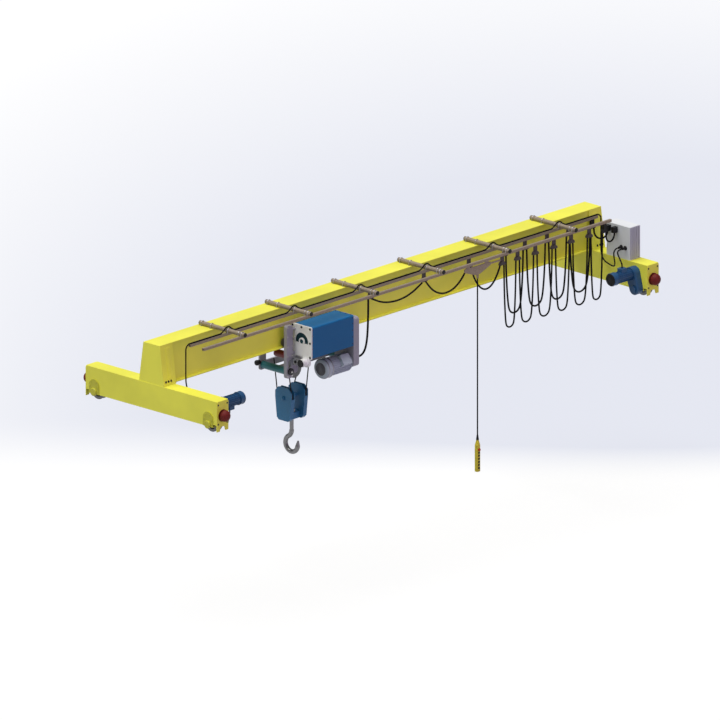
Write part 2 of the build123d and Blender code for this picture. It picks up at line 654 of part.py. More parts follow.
# Motors: a finned body between a flange and a fan cowl, with a terminal box on one side
def finned_motor(start, direction, sizes, terminal, setback, box_side):
    diameter, length, flange_diameter, flange, cowl_diameter, cowl, fins, fin_depth, fin_width = sizes
    with BuildPart() as motor:
        with BuildSketch(start):
            Circle(flange_diameter / 2)
        extrude(amount=direction * flange)
        body = start.offset(direction * flange)
        with BuildSketch(body):
            Circle(diameter / 2 - fin_depth)
            with PolarLocations(diameter / 2 - fin_depth, fins):
                Rectangle(2 * fin_depth, fin_width)
        extrude(amount=direction * length)
        with BuildSketch(start.offset(direction * (flange + length))):
            Circle(cowl_diameter / 2)
        extrude(amount=direction * cowl)
        end = motor.faces().sort_by(Axis.X)[-1 if direction > 0 else 0]
        fillet(end.edges(), fin_depth)
        box_length, box_width, box_height = terminal
        seat = body.origin + Vector(direction * setback, 0, 0)
        seat += Vector(*box_side) * (diameter / 2 - 2 * fin_depth)
        with BuildSketch(Plane(origin=seat, x_dir=(1, 0, 0), z_dir=box_side)):
            RectangleRounded(box_length, box_width, fin_depth)
        extrude(amount=box_height + 2 * fin_depth)
    return motor


TRAVEL_MOTOR = (
    MOTOR_DIAMETER, MOTOR_LENGTH, MOTOR_FLANGE_DIAMETER, MOTOR_FLANGE,
    COWL_DIAMETER, COWL_LENGTH, MOTOR_FINS, MOTOR_FIN_DEPTH, MOTOR_FIN_WIDTH,
)
TERMINAL_SIDES = {"left": (0, 0, -1), "right": (0, 0, 1)}
for side, (rail_x, inward) in SIDES.items():
    save(travel_gearbox(rail_x, inward), f"travel_gearbox_{side}")
    motor_face = rail_x + inward * (CARRIAGE_HALF + DRIVE_BODY)
    travel_motor = finned_motor(
        span_plane(motor_face, DRIVE_HEAD_Y, DRIVE_HEAD_Z),
        inward,
        TRAVEL_MOTOR,
        (TERMINAL_LENGTH, TERMINAL_WIDTH, TERMINAL_HEIGHT),
        MOTOR_LENGTH / 2,
        TERMINAL_SIDES[side],
    )
    save(travel_motor, f"travel_motor_{side}")


# Box girder: webs and top plate, the runway flange under them and the flared feet at the ends
with BuildPart() as girder:
    with BuildSketch(span_plane(-GIRDER_OVERHANG, GIRDER_Y)):
        for half in (-1, 1):
            web_offset = half * (WEB_SPACING - GIRDER_WEB) / 2
            with Locations((web_offset, (FLANGE_TOP + GIRDER_TOP - TOP_PLATE) / 2)):
                Rectangle(GIRDER_WEB, GIRDER_TOP - TOP_PLATE - FLANGE_TOP)
        with Locations((0, GIRDER_TOP - TOP_PLATE / 2)):
            Rectangle(TOP_PLATE_WIDTH, TOP_PLATE)
    extrude(amount=GIRDER_LENGTH)
save(girder, "girder_webs_and_top")

with BuildPart() as runway_flange:
    with BuildSketch(span_plane(-GIRDER_OVERHANG, GIRDER_Y)):
        with Locations((0, GIRDER_BOTTOM + RUNWAY_FLANGE / 2)):
            Rectangle(RUNWAY_FLANGE_WIDTH, RUNWAY_FLANGE)
    extrude(amount=GIRDER_LENGTH)
save(runway_flange, "girder_runway_flange")


# Flared feet: sloping side plates and a trapezoid end plate that stand on the carriage
with BuildPart() as feet:
    for rail_x, inward in SIDES.values():
        outer_x = rail_x - inward * GIRDER_OVERHANG
        for half in (-1, 1):
            with BuildSketch(span_plane(outer_x, GIRDER_Y)):
                with BuildLine():
                    Polyline(
                        (half * WEB_SPACING / 2, GIRDER_TOP - TOP_PLATE),
                        (half * TOP_PLATE_WIDTH / 2, GIRDER_TOP - TOP_PLATE),
                        (half * FOOT_WIDTH / 2, GIRDER_BOTTOM),
                        (half * (FOOT_WIDTH / 2 - FOOT_PLATE), GIRDER_BOTTOM),
                        close=True,
                    )
                make_face()
            extrude(amount=inward * FOOT_LENGTH)
        with BuildSketch(span_plane(outer_x, GIRDER_Y)):
            with BuildLine():
                Polyline(
                    (-FOOT_WIDTH / 2, GIRDER_BOTTOM),
                    (FOOT_WIDTH / 2, GIRDER_BOTTOM),
                    (TOP_PLATE_WIDTH / 2, GIRDER_TOP),
                    (-TOP_PLATE_WIDTH / 2, GIRDER_TOP),
                    close=True,
                )
            make_face()
        extrude(amount=-inward * FOOT_PLATE)
save(feet, "girder_end_feet")


# Cable arms across the girder and the C-rails hung under them
with BuildPart() as arms:
    for arm_x in ARM_XS:
        with BuildSketch(runway_plane(ARM_BACK, arm_x, ARM_Z)):
            Circle(ARM_DIAMETER / 2)
            Circle(ARM_DIAMETER / 2 - ARM_WALL, mode=Mode.SUBTRACT)
        extrude(amount=ARM_BACK - ARM_FRONT)
save(arms, "cable_arms")

for name, rail_y in (("hoist", HOIST_RAIL_Y), ("pendant", PENDANT_RAIL_Y)):
    with BuildPart() as c_rail:
        with BuildSketch(span_plane(C_RAIL_START, rail_y, C_RAIL_TOP - C_RAIL_HEIGHT / 2)):
            Rectangle(C_RAIL_WIDTH, C_RAIL_HEIGHT)
            Rectangle(C_RAIL_WIDTH - 2 * C_RAIL_WALL, C_RAIL_HEIGHT - 2 * C_RAIL_WALL, mode=Mode.SUBTRACT)
            with Locations((0, (C_RAIL_WALL - C_RAIL_HEIGHT) / 2)):
                Rectangle(C_RAIL_SLOT, C_RAIL_WALL, mode=Mode.SUBTRACT)
        extrude(amount=C_RAIL_END - C_RAIL_START)
    save(c_rail, f"{name}_cable_rail")


# Cable carriers: four rollers on the lips of the rail, a stem through its slot and a round saddle
LIP_TOP = C_RAIL_BOTTOM + C_RAIL_WALL
ROLLER_Z = LIP_TOP + ROLLER_CLEARANCE + ROLLER_DIAMETER / 2


def carrier_truck(x, rail_y, stem_bottom):
    with BuildPart() as truck:
        with BuildSketch(runway_plane(rail_y + STEM_THICKNESS / 2, x, (ROLLER_Z + stem_bottom) / 2)):
            Rectangle(STEM_LENGTH, ROLLER_Z - stem_bottom)
        extrude(amount=STEM_THICKNESS)
        with BuildSketch(runway_plane(rail_y + STEM_THICKNESS / 2 + ROLLER_WIDTH, x, ROLLER_Z)):
            with GridLocations(ROLLER_PITCH, 0, 2, 1):
                Circle(ROLLER_DIAMETER / 2)
        extrude(amount=STEM_THICKNESS + 2 * ROLLER_WIDTH)
    return truck.part


def cable_saddle(x, rail_y):
    with BuildPart() as saddle:
        with BuildSketch(runway_plane(rail_y + SADDLE_WIDTH / 2, x, SADDLE_BOTTOM)):
            with BuildLine():
                ThreePointArc((-SADDLE_RADIUS, 0), (0, SADDLE_RADIUS), (SADDLE_RADIUS, 0))
                Line((SADDLE_RADIUS, 0), (-SADDLE_RADIUS, 0))
            make_face()
        extrude(amount=SADDLE_WIDTH)
    return saddle.part


STEM_BOTTOM = SADDLE_BOTTOM + SADDLE_RADIUS / 2
for name, rail_y, places in (
    ("hoist", HOIST_RAIL_Y, HOIST_CARRIER_X),
    ("pendant", PENDANT_RAIL_Y, PENDANT_CARRIER_X),
):
    for number, carrier_x in enumerate(places, 1):
        pieces = [carrier_truck(carrier_x, rail_y, STEM_BOTTOM), cable_saddle(carrier_x, rail_y)]
        with BuildPart() as carrier:
            add(pieces)
        save(carrier, f"{name}_cable_carrier_{number}")

CLAMPS = {HOIST_RAIL_Y: HOIST_CLAMP_X, PENDANT_RAIL_Y: PENDANT_CLAMP_X}
saddles = [cable_saddle(clamp_x, rail_y) for rail_y, clamp_x in CLAMPS.items()]
with BuildPart() as end_clamps:
    add(saddles)
    for rail_y, clamp_x in CLAMPS.items():
        clamp_z = (STEM_BOTTOM + C_RAIL_BOTTOM) / 2
        with BuildSketch(runway_plane(rail_y + SADDLE_WIDTH / 2, clamp_x, clamp_z)):
            Rectangle(SADDLE_RADIUS, C_RAIL_BOTTOM - STEM_BOTTOM)
        extrude(amount=SADDLE_WIDTH)
save(end_clamps, "festoon_end_clamps")


# Festoon cables: one loop from each carrier to the next
def deep_loop(start, end, bottom, roundness, leg):
    """Two legs and a round end that hang between two places, which may differ in height."""
    half = hypot(end[0] - start[0], end[1] - start[1]) / 2
    end_radius = roundness * half
    centre_z = bottom + end_radius

    def place(side, z):
        share = (1 + side / half) / 2
        return (start[0] + share * (end[0] - start[0]), start[1] + share * (end[1] - start[1]), z)

    def leg_points(top_z, hand):
        return [
            place(hand * (half - inward * (half - end_radius)), top_z - drop * (top_z - centre_z))
            for inward, drop in leg
        ]

    turn = [
        place(-end_radius * cos(radians(a)), centre_z - end_radius * sin(radians(a)))
        for a in LOOP_END_ANGLES
    ]
    return leg_points(start[2], -1) + turn + leg_points(end[2], 1)[::-1]


def shallow_loop(start_x, end_x, rail_y, bottom):
    gap = end_x - start_x
    sag = SADDLE_BOTTOM - bottom
    return [(start_x + side * gap, rail_y, SADDLE_BOTTOM - drop * sag) for side, drop in SHALLOW_LOOP]


hoist_stops = HOIST_CARRIER_X + [HOIST_CLAMP_X]
loops = []
for number, (left, right) in enumerate(zip(hoist_stops, hoist_stops[1:])):
    start = (left + CABLE_EXIT, HOIST_RAIL_Y, SADDLE_BOTTOM)
    end = (right - CABLE_EXIT, HOIST_RAIL_Y, SADDLE_BOTTOM)
    if number < len(SHALLOW_LOOP_BOTTOMS):
        points = shallow_loop(start[0], end[0], HOIST_RAIL_Y, SHALLOW_LOOP_BOTTOMS[number])
    else:
        points = deep_loop(start, end, HOIST_LOOP_BOTTOM, LOOP_END_ROUNDNESS, LOOP_LEG)
    loops.append(round_tube(f"hoist loop {number + 1}", hung(points, HOIST_CABLE), HOIST_CABLE))
with BuildPart() as hoist_festoon:
    add(loops)
save(hoist_festoon, "hoist_festoon_cable")

pendant_stops = PENDANT_CARRIER_X + [PENDANT_CLAMP_X]
loops = []
for number, (left, right) in enumerate(zip(pendant_stops, pendant_stops[1:])):
    start = (left + CABLE_EXIT, PENDANT_RAIL_Y, SADDLE_BOTTOM)
    end = (right - CABLE_EXIT, PENDANT_RAIL_Y, SADDLE_BOTTOM)
    points = deep_loop(start, end, PENDANT_LOOP_BOTTOM, LOOP_END_ROUNDNESS, LOOP_LEG)
    hanging = hung(points, PENDANT_LOOP_CABLE)
    loops.append(round_tube(f"pendant loop {number + 1}", hanging, PENDANT_LOOP_CABLE))
with BuildPart() as pendant_festoon:
    add(loops)
save(pendant_festoon, "pendant_festoon_cable")


# Hoist: folded drum cover, white end plate with a window over the drum's bearing, grooved drum
with BuildPart() as drum_cover:
    with BuildSketch(span_plane(COVER_LEFT, (HOIST_FRONT + HOIST_BACK) / 2, COVER_BOTTOM)):
        with BuildLine() as fold:
            half = (HOIST_BACK - HOIST_FRONT - COVER_SHEET) / 2
            top = COVER_HEIGHT - COVER_SHEET / 2
            FilletPolyline((-half, 0), (-half, top), (half, top), (half, 0), radius=COVER_EDGE_RADIUS)
            offset(amount=COVER_SHEET / 2, side=Side.BOTH, kind=Kind.ARC)
        make_face()
    extrude(amount=COVER_LENGTH)
save(drum_cover, "hoist_drum_cover")

with BuildPart() as drum_end_plate:
    plate_centre = ((HOIST_FRONT + HOIST_BACK) / 2, COVER_BOTTOM + COVER_HEIGHT / 2)
    with BuildSketch(span_plane(WHITE_PLATE_LEFT)):
        with Locations(plate_centre):
            RectangleRounded(
                HOIST_BACK - HOIST_FRONT + 2 * END_PLATE_MARGIN,
                COVER_HEIGHT + 2 * END_PLATE_MARGIN,
                END_PLATE_MARGIN,
            )
        with Locations((SWITCH_Y, SWITCH_Z)):
            Circle(SWITCH_DIAMETER / 2 + END_PLATE_MARGIN)
        with BuildLine():
            sill = (WINDOW_RADIUS**2 - WINDOW_SILL**2) ** 0.5
            left = (DRUM_Y - sill, DRUM_Z - WINDOW_SILL)
            right = (DRUM_Y + sill, DRUM_Z - WINDOW_SILL)
            ThreePointArc(left, (DRUM_Y, DRUM_Z + WINDOW_RADIUS), right)
            Line(right, left)
        make_face(mode=Mode.SUBTRACT)
        with Locations((DRUM_Y, DRUM_Z)):
            Circle(BEARING_HUB_DIAMETER / 2)
            Circle(DRUM_SHAFT / 2 + AXLE_CLEARANCE, mode=Mode.SUBTRACT)
    extrude(amount=END_PLATE_WHITE)
save(drum_end_plate, "hoist_drum_end_plate")

with BuildPart() as limit_switch:
    face = WHITE_PLATE_LEFT
    for diameter, length in (
        (SWITCH_DIAMETER, SWITCH_FLANGE),
        (SWITCH_BODY_DIAMETER, SWITCH_BODY),
        (SWITCH_CAP_DIAMETER, SWITCH_CAP),
    ):
        with BuildSketch(span_plane(face, SWITCH_Y, SWITCH_Z)):
            Circle(diameter / 2)
        extrude(amount=-length)
        face -= length
    chamfer(limit_switch.faces().sort_by(Axis.X)[0].edges(), SWITCH_CAP / 3)
save(limit_switch, "hoist_limit_switch")

with BuildPart() as drum:
    barrel = COVER_LENGTH - 2 * DRUM_END_GAP
    plane = side_plane(COVER_LEFT + DRUM_END_GAP, DRUM_Y, DRUM_Z)
    groove_count = int((barrel - 2 * DRUM_FLANGE) / DRUM_GROOVE_PITCH)
    first_groove = (barrel - (groove_count - 1) * DRUM_GROOVE_PITCH) / 2
    with BuildSketch(plane):
        with BuildLine():
            Polyline(
                (-DRUM_END_GAP - END_PLATE_WHITE, 0),
                (-DRUM_END_GAP - END_PLATE_WHITE, DRUM_SHAFT / 2),
                (0, DRUM_SHAFT / 2),
                (0, DRUM_FLANGE_DIAMETER / 2),
                (DRUM_FLANGE, DRUM_FLANGE_DIAMETER / 2),
                (DRUM_FLANGE, DRUM_DIAMETER / 2),
                (barrel - DRUM_FLANGE, DRUM_DIAMETER / 2),
                (barrel - DRUM_FLANGE, DRUM_FLANGE_DIAMETER / 2),
                (barrel, DRUM_FLANGE_DIAMETER / 2),
                (barrel, DRUM_SHAFT / 2),
                (barrel + DRUM_END_GAP - AXLE_CLEARANCE, DRUM_SHAFT / 2),
                (barrel + DRUM_END_GAP - AXLE_CLEARANCE, 0),
                close=True,
            )
        make_face()
        grooves = [first_groove + i * DRUM_GROOVE_PITCH for i in range(groove_count)]
        with Locations(*[(groove, DRUM_DIAMETER / 2) for groove in grooves]):
            Circle(DRUM_GROOVE, mode=Mode.SUBTRACT)
    revolve(axis=Axis(plane.origin, plane.x_dir))
save(drum, "hoist_rope_drum")

with BuildPart() as hoist_gearbox:
    case_height = GEARBOX_TOP - GEARBOX_BOTTOM
    case_centre = ((HOIST_FRONT + HOIST_BACK) / 2, (GEARBOX_TOP + GEARBOX_BOTTOM) / 2)
    with BuildSketch(span_plane(COVER_RIGHT)):
        with Locations(case_centre):
            RectangleRounded(HOIST_BACK - HOIST_FRONT, case_height, GEARBOX_RADIUS)
    extrude(amount=GEARBOX_LENGTH - GEARBOX_LID)
    with BuildSketch(span_plane(GEARBOX_RIGHT - GEARBOX_LID)):
        with Locations(case_centre):
            RectangleRounded(
                HOIST_BACK - HOIST_FRONT - 2 * GEARBOX_LID_MARGIN,
                case_height - 2 * GEARBOX_LID_MARGIN,
                GEARBOX_RADIUS - GEARBOX_LID_MARGIN,
            )
    extrude(amount=GEARBOX_LID)
    with BuildSketch(span_plane(GEARBOX_RIGHT, HOIST_MOTOR_Y, DROP_GLAND_Z)):
        Circle(GLAND_DIAMETER / 2)
    extrude(amount=GLAND_LENGTH)
    with BuildSketch(runway_plane(FRONT_WHEEL_FACE, RIGHT_AXLE_X, TROLLEY_AXLE_Z)):
        Circle(TROLLEY_AXLE / 2)
    extrude(amount=FRONT_WHEEL_FACE - HOIST_BACK)
save(hoist_gearbox, "hoist_gearbox")

HOIST_MOTOR = (
    HOIST_MOTOR_DIAMETER, HOIST_MOTOR_LENGTH, HOIST_MOTOR_DIAMETER, MOTOR_FLANGE,
    HOIST_COWL_DIAMETER, HOIST_COWL_LENGTH, HOIST_MOTOR_FINS, HOIST_FIN_DEPTH, HOIST_FIN_WIDTH,
)
tilt = radians(HOIST_TERMINAL_TILT)
hoist_motor = finned_motor(
    span_plane(COVER_RIGHT, HOIST_MOTOR_Y, HOIST_MOTOR_Z),
    -1,
    HOIST_MOTOR,
    (HOIST_TERMINAL_LENGTH, HOIST_TERMINAL_WIDTH, HOIST_TERMINAL_HEIGHT),
    HOIST_TERMINAL_SETBACK,
    (0, -cos(tilt), sin(tilt)),
)
save(hoist_motor, "hoist_motor")


# Trolley frame: front column, tie bars, back frame, cross tubes and the beam for the return sheave
with BuildPart() as column:
    with BuildSketch(runway_plane(COLUMN_BACK, LEFT_AXLE_X, (COLUMN_TOP + COLUMN_BOTTOM) / 2)):
        RectangleRounded(COLUMN_WIDTH, COLUMN_TOP - COLUMN_BOTTOM, COLUMN_WIDTH / 4)
        with Locations((0, COLUMN_WINDOW_Z - (COLUMN_TOP + COLUMN_BOTTOM) / 2)):
            SlotOverall(2 * COLUMN_WINDOW, COLUMN_WINDOW, rotation=90, mode=Mode.SUBTRACT)
    extrude(amount=COLUMN_BACK - COLUMN_FRONT)
    with BuildSketch(runway_plane(FRONT_WHEEL_FACE, LEFT_AXLE_X, TROLLEY_AXLE_Z)):
        Circle(TROLLEY_AXLE / 2)
    extrude(amount=FRONT_WHEEL_FACE - COLUMN_BACK)
    for tie_z in TIE_HEIGHTS:
        with BuildSketch(span_plane(LEFT_AXLE_X, TIE_Y, tie_z)):
            Circle(TIE_DIAMETER / 2)
        extrude(amount=WHITE_PLATE_LEFT - LEFT_AXLE_X)
save(column, "trolley_front_column")

with BuildPart() as back_frame:
    plate_height = BACK_PLATE_TOP - BACK_PLATE_BOTTOM
    for axle_x in (LEFT_AXLE_X, RIGHT_AXLE_X):
        plate_z = BACK_PLATE_BOTTOM + plate_height / 2
        with BuildSketch(runway_plane(BACK_PLATE_FRONT + BACK_PLATE, axle_x, plate_z)):
            RectangleRounded(COLUMN_WIDTH, plate_height, COLUMN_WIDTH / 4)
        extrude(amount=BACK_PLATE)
        with BuildSketch(runway_plane(BACK_PLATE_FRONT, axle_x, TROLLEY_AXLE_Z)):
            Circle(TROLLEY_AXLE / 2)
        extrude(amount=BACK_PLATE_FRONT - BACK_WHEEL_FACE)
    with BuildSketch(
        runway_plane(BACK_PLATE_FRONT + BACK_PLATE, (LEFT_AXLE_X + RIGHT_AXLE_X) / 2, CROSS_TUBE_Z)
    ):
        Rectangle(RIGHT_AXLE_X - LEFT_AXLE_X, BACK_BEAM_HEIGHT)
    extrude(amount=BACK_PLATE)
save(back_frame, "trolley_back_frame")

with BuildPart() as cross_tubes:
    for tube_x, front in ((LEFT_AXLE_X, COLUMN_BACK), (RIGHT_AXLE_X, HOIST_BACK)):
        with BuildSketch(runway_plane(BACK_PLATE_FRONT, tube_x, CROSS_TUBE_Z)):
            Circle(CROSS_TUBE_DIAMETER / 2)
            Circle(CROSS_TUBE_DIAMETER / 2 - CROSS_TUBE_WALL, mode=Mode.SUBTRACT)
        extrude(amount=BACK_PLATE_FRONT - front)
save(cross_tubes, "trolley_cross_tubes")

with BuildPart() as tie_beam:
    beam_left = LEFT_AXLE_X + CROSS_TUBE_DIAMETER / 2
    beam_right = RIGHT_AXLE_X - CROSS_TUBE_DIAMETER / 2
    with BuildSketch(span_plane(beam_left, TIE_BEAM_Y, CROSS_TUBE_Z)):
        Rectangle(TIE_BEAM_WIDTH, TIE_BEAM_HEIGHT)
    extrude(amount=beam_right - beam_left)
    sheave_gap = RETURN_SHEAVE_WIDTH / 2 + CHEEK_GAP
    for back in (TIE_BEAM_Y - sheave_gap, TIE_BEAM_Y + sheave_gap + RETURN_CHEEK):
        cheek_height = CROSS_TUBE_Z - RETURN_SHEAVE_Z
        with BuildSketch(runway_plane(back, RETURN_SHEAVE_X, RETURN_SHEAVE_Z + cheek_height / 2)):
            SlotOverall(cheek_height + RETURN_CHEEK_WIDTH, RETURN_CHEEK_WIDTH, rotation=90)
        extrude(amount=RETURN_CHEEK)
    with BuildSketch(runway_plane(TIE_BEAM_Y + sheave_gap, RETURN_SHEAVE_X, RETURN_SHEAVE_Z)):
        Circle(SHEAVE_PITCH / 2 + ROPE_DIAMETER / 2 + CHEEK_GAP)
    extrude(amount=2 * sheave_gap, mode=Mode.SUBTRACT)
    with BuildSketch(runway_plane(TIE_BEAM_Y + sheave_gap, RETURN_SHEAVE_X, RETURN_SHEAVE_Z)):
        Circle(TROLLEY_AXLE / 2)
    extrude(amount=2 * sheave_gap)
save(tie_beam, "return_sheave_beam")


def grooved_wheel(plane, diameter, width, bore, groove):
    """A sheave turned about the local x axis of its plane, with a round rope groove in its rim."""
    with BuildPart() as sheave:
        with BuildSketch(plane):
            with Locations((0, (diameter / 2 + bore / 2) / 2)):
                Rectangle(width, diameter / 2 - bore / 2)
            with Locations((0, diameter / 2)):
                Circle(groove, mode=Mode.SUBTRACT)
        revolve(axis=Axis(plane.origin, plane.x_dir))
    return sheave.part


RETURN_PLANE = Plane(origin=(RETURN_SHEAVE_X, TIE_BEAM_Y, RETURN_SHEAVE_Z), x_dir=(0, 1, 0), z_dir=(1, 0, 0))
pieces = grooved_wheel(
    RETURN_PLANE,
    RETURN_SHEAVE_DIAMETER,
    RETURN_SHEAVE_WIDTH,
    TROLLEY_AXLE + 2 * AXLE_CLEARANCE,
    ROPE_GROOVE,
)
with BuildPart() as return_sheave:
    add(pieces)
save(return_sheave, "return_sheave")


# Trolley wheels: flanged wheels that run on the upper side of the girder's runway flange
with BuildPart() as trolley_wheels:
    for axle_x in (LEFT_AXLE_X, RIGHT_AXLE_X):
        for half in (-1, 1):
            outer = FRONT_WHEEL_FACE if half < 0 else BACK_WHEEL_FACE
            with BuildSketch(runway_plane(outer, axle_x, TROLLEY_AXLE_Z)):
                Circle(TROLLEY_WHEEL_RIM_DIAMETER / 2)
            extrude(amount=half * TROLLEY_WHEEL_RIM)
            with BuildSketch(runway_plane(outer, axle_x, TROLLEY_AXLE_Z)):
                Circle(TROLLEY_WHEEL_DIAMETER / 2)
            extrude(amount=half * (TROLLEY_WHEEL_RIM + TROLLEY_WHEEL_WIDTH))
save(trolley_wheels, "trolley_wheels")


# Hook block: two grooved sheaves on a pin, each in a housing of two clipped cheeks and a guard round
# the lower half of its rim, over a crosshead for the hook
SHEAVE_XS = [BLOCK_X - SHEAVE_PITCH / 2, BLOCK_X + SHEAVE_PITCH / 2]
CHEEK_OFFSET = BLOCK_SHEAVE_WIDTH / 2 + CHEEK_GAP
CROSSHEAD_Z = CHEEK_BOTTOM + CROSSHEAD_HEIGHT / 2
CHEEK_TOP = BLOCK_SHEAVE_Z + CHEEK_RISE
CHEEK_SIDE = [
    (CHEEK_FOOT_WIDTH / 2 - CHEEK_FOOT_CLIP, CHEEK_BOTTOM),
    (CHEEK_FOOT_WIDTH / 2, CHEEK_BOTTOM + CHEEK_FOOT_CLIP),
    (CHEEK_WIDTH / 2, BLOCK_SHEAVE_Z),
    (CHEEK_WIDTH / 2, CHEEK_TOP - CHEEK_CLIP),
    (CHEEK_WIDTH / 2 - CHEEK_CLIP, CHEEK_TOP),
]
CHEEK_OUTLINE = CHEEK_SIDE + [(-y, z) for y, z in reversed(CHEEK_SIDE)]
with BuildPart() as block_frame:
    for sheave_x in SHEAVE_XS:
        for start in (sheave_x - CHEEK_OFFSET - CHEEK, sheave_x + CHEEK_OFFSET):
            with BuildSketch(span_plane(start, GIRDER_Y)):
                with BuildLine():
                    Polyline(*CHEEK_OUTLINE, close=True)
                make_face()
            extrude(amount=CHEEK)
        with BuildSketch(span_plane(sheave_x - CHEEK_OFFSET, GIRDER_Y)):
            with BuildLine():
                Polyline(*CHEEK_OUTLINE, close=True)
            make_face()
            offset(amount=-SHEAVE_GUARD, mode=Mode.SUBTRACT)
            with Locations((0, (BLOCK_SHEAVE_Z + CHEEK_TOP) / 2)):
                Rectangle(CHEEK_WIDTH, CHEEK_RISE, mode=Mode.SUBTRACT)
        extrude(amount=2 * CHEEK_OFFSET)
    pin_start = SHEAVE_XS[0] - CHEEK_OFFSET - 2 * CHEEK
    pin_end = SHEAVE_XS[1] + CHEEK_OFFSET + 2 * CHEEK
    with BuildSketch(span_plane(pin_start, GIRDER_Y, BLOCK_SHEAVE_Z)):
        Circle(BLOCK_PIN / 2)
    extrude(amount=pin_end - pin_start)
    with BuildSketch(span_plane(pin_start + CHEEK, GIRDER_Y, CROSSHEAD_Z)):
        Rectangle(CROSSHEAD_DEPTH, CROSSHEAD_HEIGHT)
    extrude(amount=pin_end - pin_start - 2 * CHEEK)
    with BuildSketch(Plane.XY.offset(CHEEK_BOTTOM)):
        with Locations((BLOCK_X, GIRDER_Y)):
            Circle(HOOK_SHANK / 2 + HOOK_CLEARANCE)
    extrude(amount=CROSSHEAD_HEIGHT, mode=Mode.SUBTRACT)
save(block_frame, "hook_block_frame")

pieces = [
    grooved_wheel(
        side_plane(sheave_x, GIRDER_Y, BLOCK_SHEAVE_Z),
        BLOCK_SHEAVE_DIAMETER,
        BLOCK_SHEAVE_WIDTH,
        BLOCK_PIN + 2 * AXLE_CLEARANCE,
        ROPE_GROOVE,
    )
    for sheave_x in SHEAVE_XS
]
with BuildPart() as block_sheaves:
    add(pieces)
save(block_sheaves, "hook_block_sheaves")


# Hook: a nut over the crosshead, a round shank, and a bowl swept along two tangent arcs to its tip
HOOK_CENTRE_Z = HOOK_NECK_BOTTOM - 2 * HOOK_BOWL_RADIUS * sin(radians(HOOK_NECK_TURN))
CROSSHEAD_TOP = CHEEK_BOTTOM + CROSSHEAD_HEIGHT


def neck_point(angle):
    turn = radians(angle)
    return (
        BLOCK_X,
        GIRDER_Y + HOOK_BOWL_RADIUS * (1 - cos(turn)),
        HOOK_NECK_BOTTOM - HOOK_BOWL_RADIUS * sin(turn),
    )


def bowl_point(angle):
    turn = radians(angle)
    return (BLOCK_X, GIRDER_Y + HOOK_BOWL_RADIUS * cos(turn), HOOK_CENTRE_Z + HOOK_BOWL_RADIUS * sin(turn))


with BuildPart() as hook:
    with BuildSketch(Plane.XY.offset(CROSSHEAD_TOP + HOOK_CLEARANCE)):
        with Locations((BLOCK_X, GIRDER_Y)):
            RegularPolygon(HOOK_NUT / 2, 6)
    extrude(amount=HOOK_NUT_HEIGHT)
    with BuildSketch(Plane.XY.offset(HOOK_NECK_BOTTOM)):
        with Locations((BLOCK_X, GIRDER_Y)):
            Circle(HOOK_SHANK / 2)
    extrude(amount=CROSSHEAD_TOP + HOOK_NUT_HEIGHT - HOOK_NECK_BOTTOM)
    with BuildLine():
        neck = ThreePointArc(neck_point(0), neck_point(HOOK_NECK_TURN / 2), neck_point(HOOK_NECK_TURN))
        middle = (HOOK_NECK_TURN + HOOK_TIP_ANGLE) / 2
        bowl = ThreePointArc(bowl_point(HOOK_NECK_TURN), bowl_point(middle), bowl_point(HOOK_TIP_ANGLE))
    with BuildSketch(Plane(origin=neck @ 0, z_dir=neck % 0)):
        Circle(HOOK_SECTION / 2)
    sweep(path=Wire([neck, bowl]))
    with BuildSketch(Plane(origin=bowl @ 1, z_dir=bowl % 1)):
        Circle(HOOK_SECTION / 2)
    extrude(amount=HOOK_TIP_LENGTH, taper=HOOK_TIP_TAPER)
save(hook, "load_hook")


# Ropes: four falls, from the drum and the anchor down round the block's sheaves, up over the return sheave
ROPE_RADIUS = BLOCK_SHEAVE_DIAMETER / 2 - ROPE_GROOVE + ROPE_DIAMETER / 2 + ROPE_GAP
RETURN_ROPE_RADIUS = SHEAVE_PITCH / 2
DRUM_ROPE_Y = DRUM_Y + DRUM_DIAMETER / 2 + ROPE_DIAMETER / 2 + ROPE_GAP
ANCHOR_Z = CROSS_TUBE_Z + BACK_BEAM_HEIGHT / 2


def tangent_angle(y, z, outward):
    """The angle at which a fall from (y, z) meets a block sheave, measured about the sheave's axis."""
    across = y - GIRDER_Y
    up = z - BLOCK_SHEAVE_Z
    return degrees(atan2(up, across) - outward * acos(ROPE_RADIUS / hypot(across, up)))


def rope_round_sheave(sheave_x, front_top, back_top):
    """One rope that comes down in front of a block sheave, turns under it and goes up behind it."""
    front_angle = tangent_angle(*front_top, -1)
    back_angle = tangent_angle(*back_top, 1)

    def rim(angle):
        turn = radians(angle)
        return (sheave_x, GIRDER_Y + ROPE_RADIUS * cos(turn), BLOCK_SHEAVE_Z + ROPE_RADIUS * sin(turn))

    with BuildPart() as rope:
        with BuildLine():
            down = Line((sheave_x, *front_top), rim(front_angle))
            under = ThreePointArc(rim(front_angle), rim(-90), rim(back_angle))
            up = Line(rim(back_angle), (sheave_x, *back_top))
        with BuildSketch(Plane(origin=down @ 0, z_dir=down % 0)):
            Circle(ROPE_DIAMETER / 2)
        sweep(path=Wire([down, under, up]))
    return rope.part


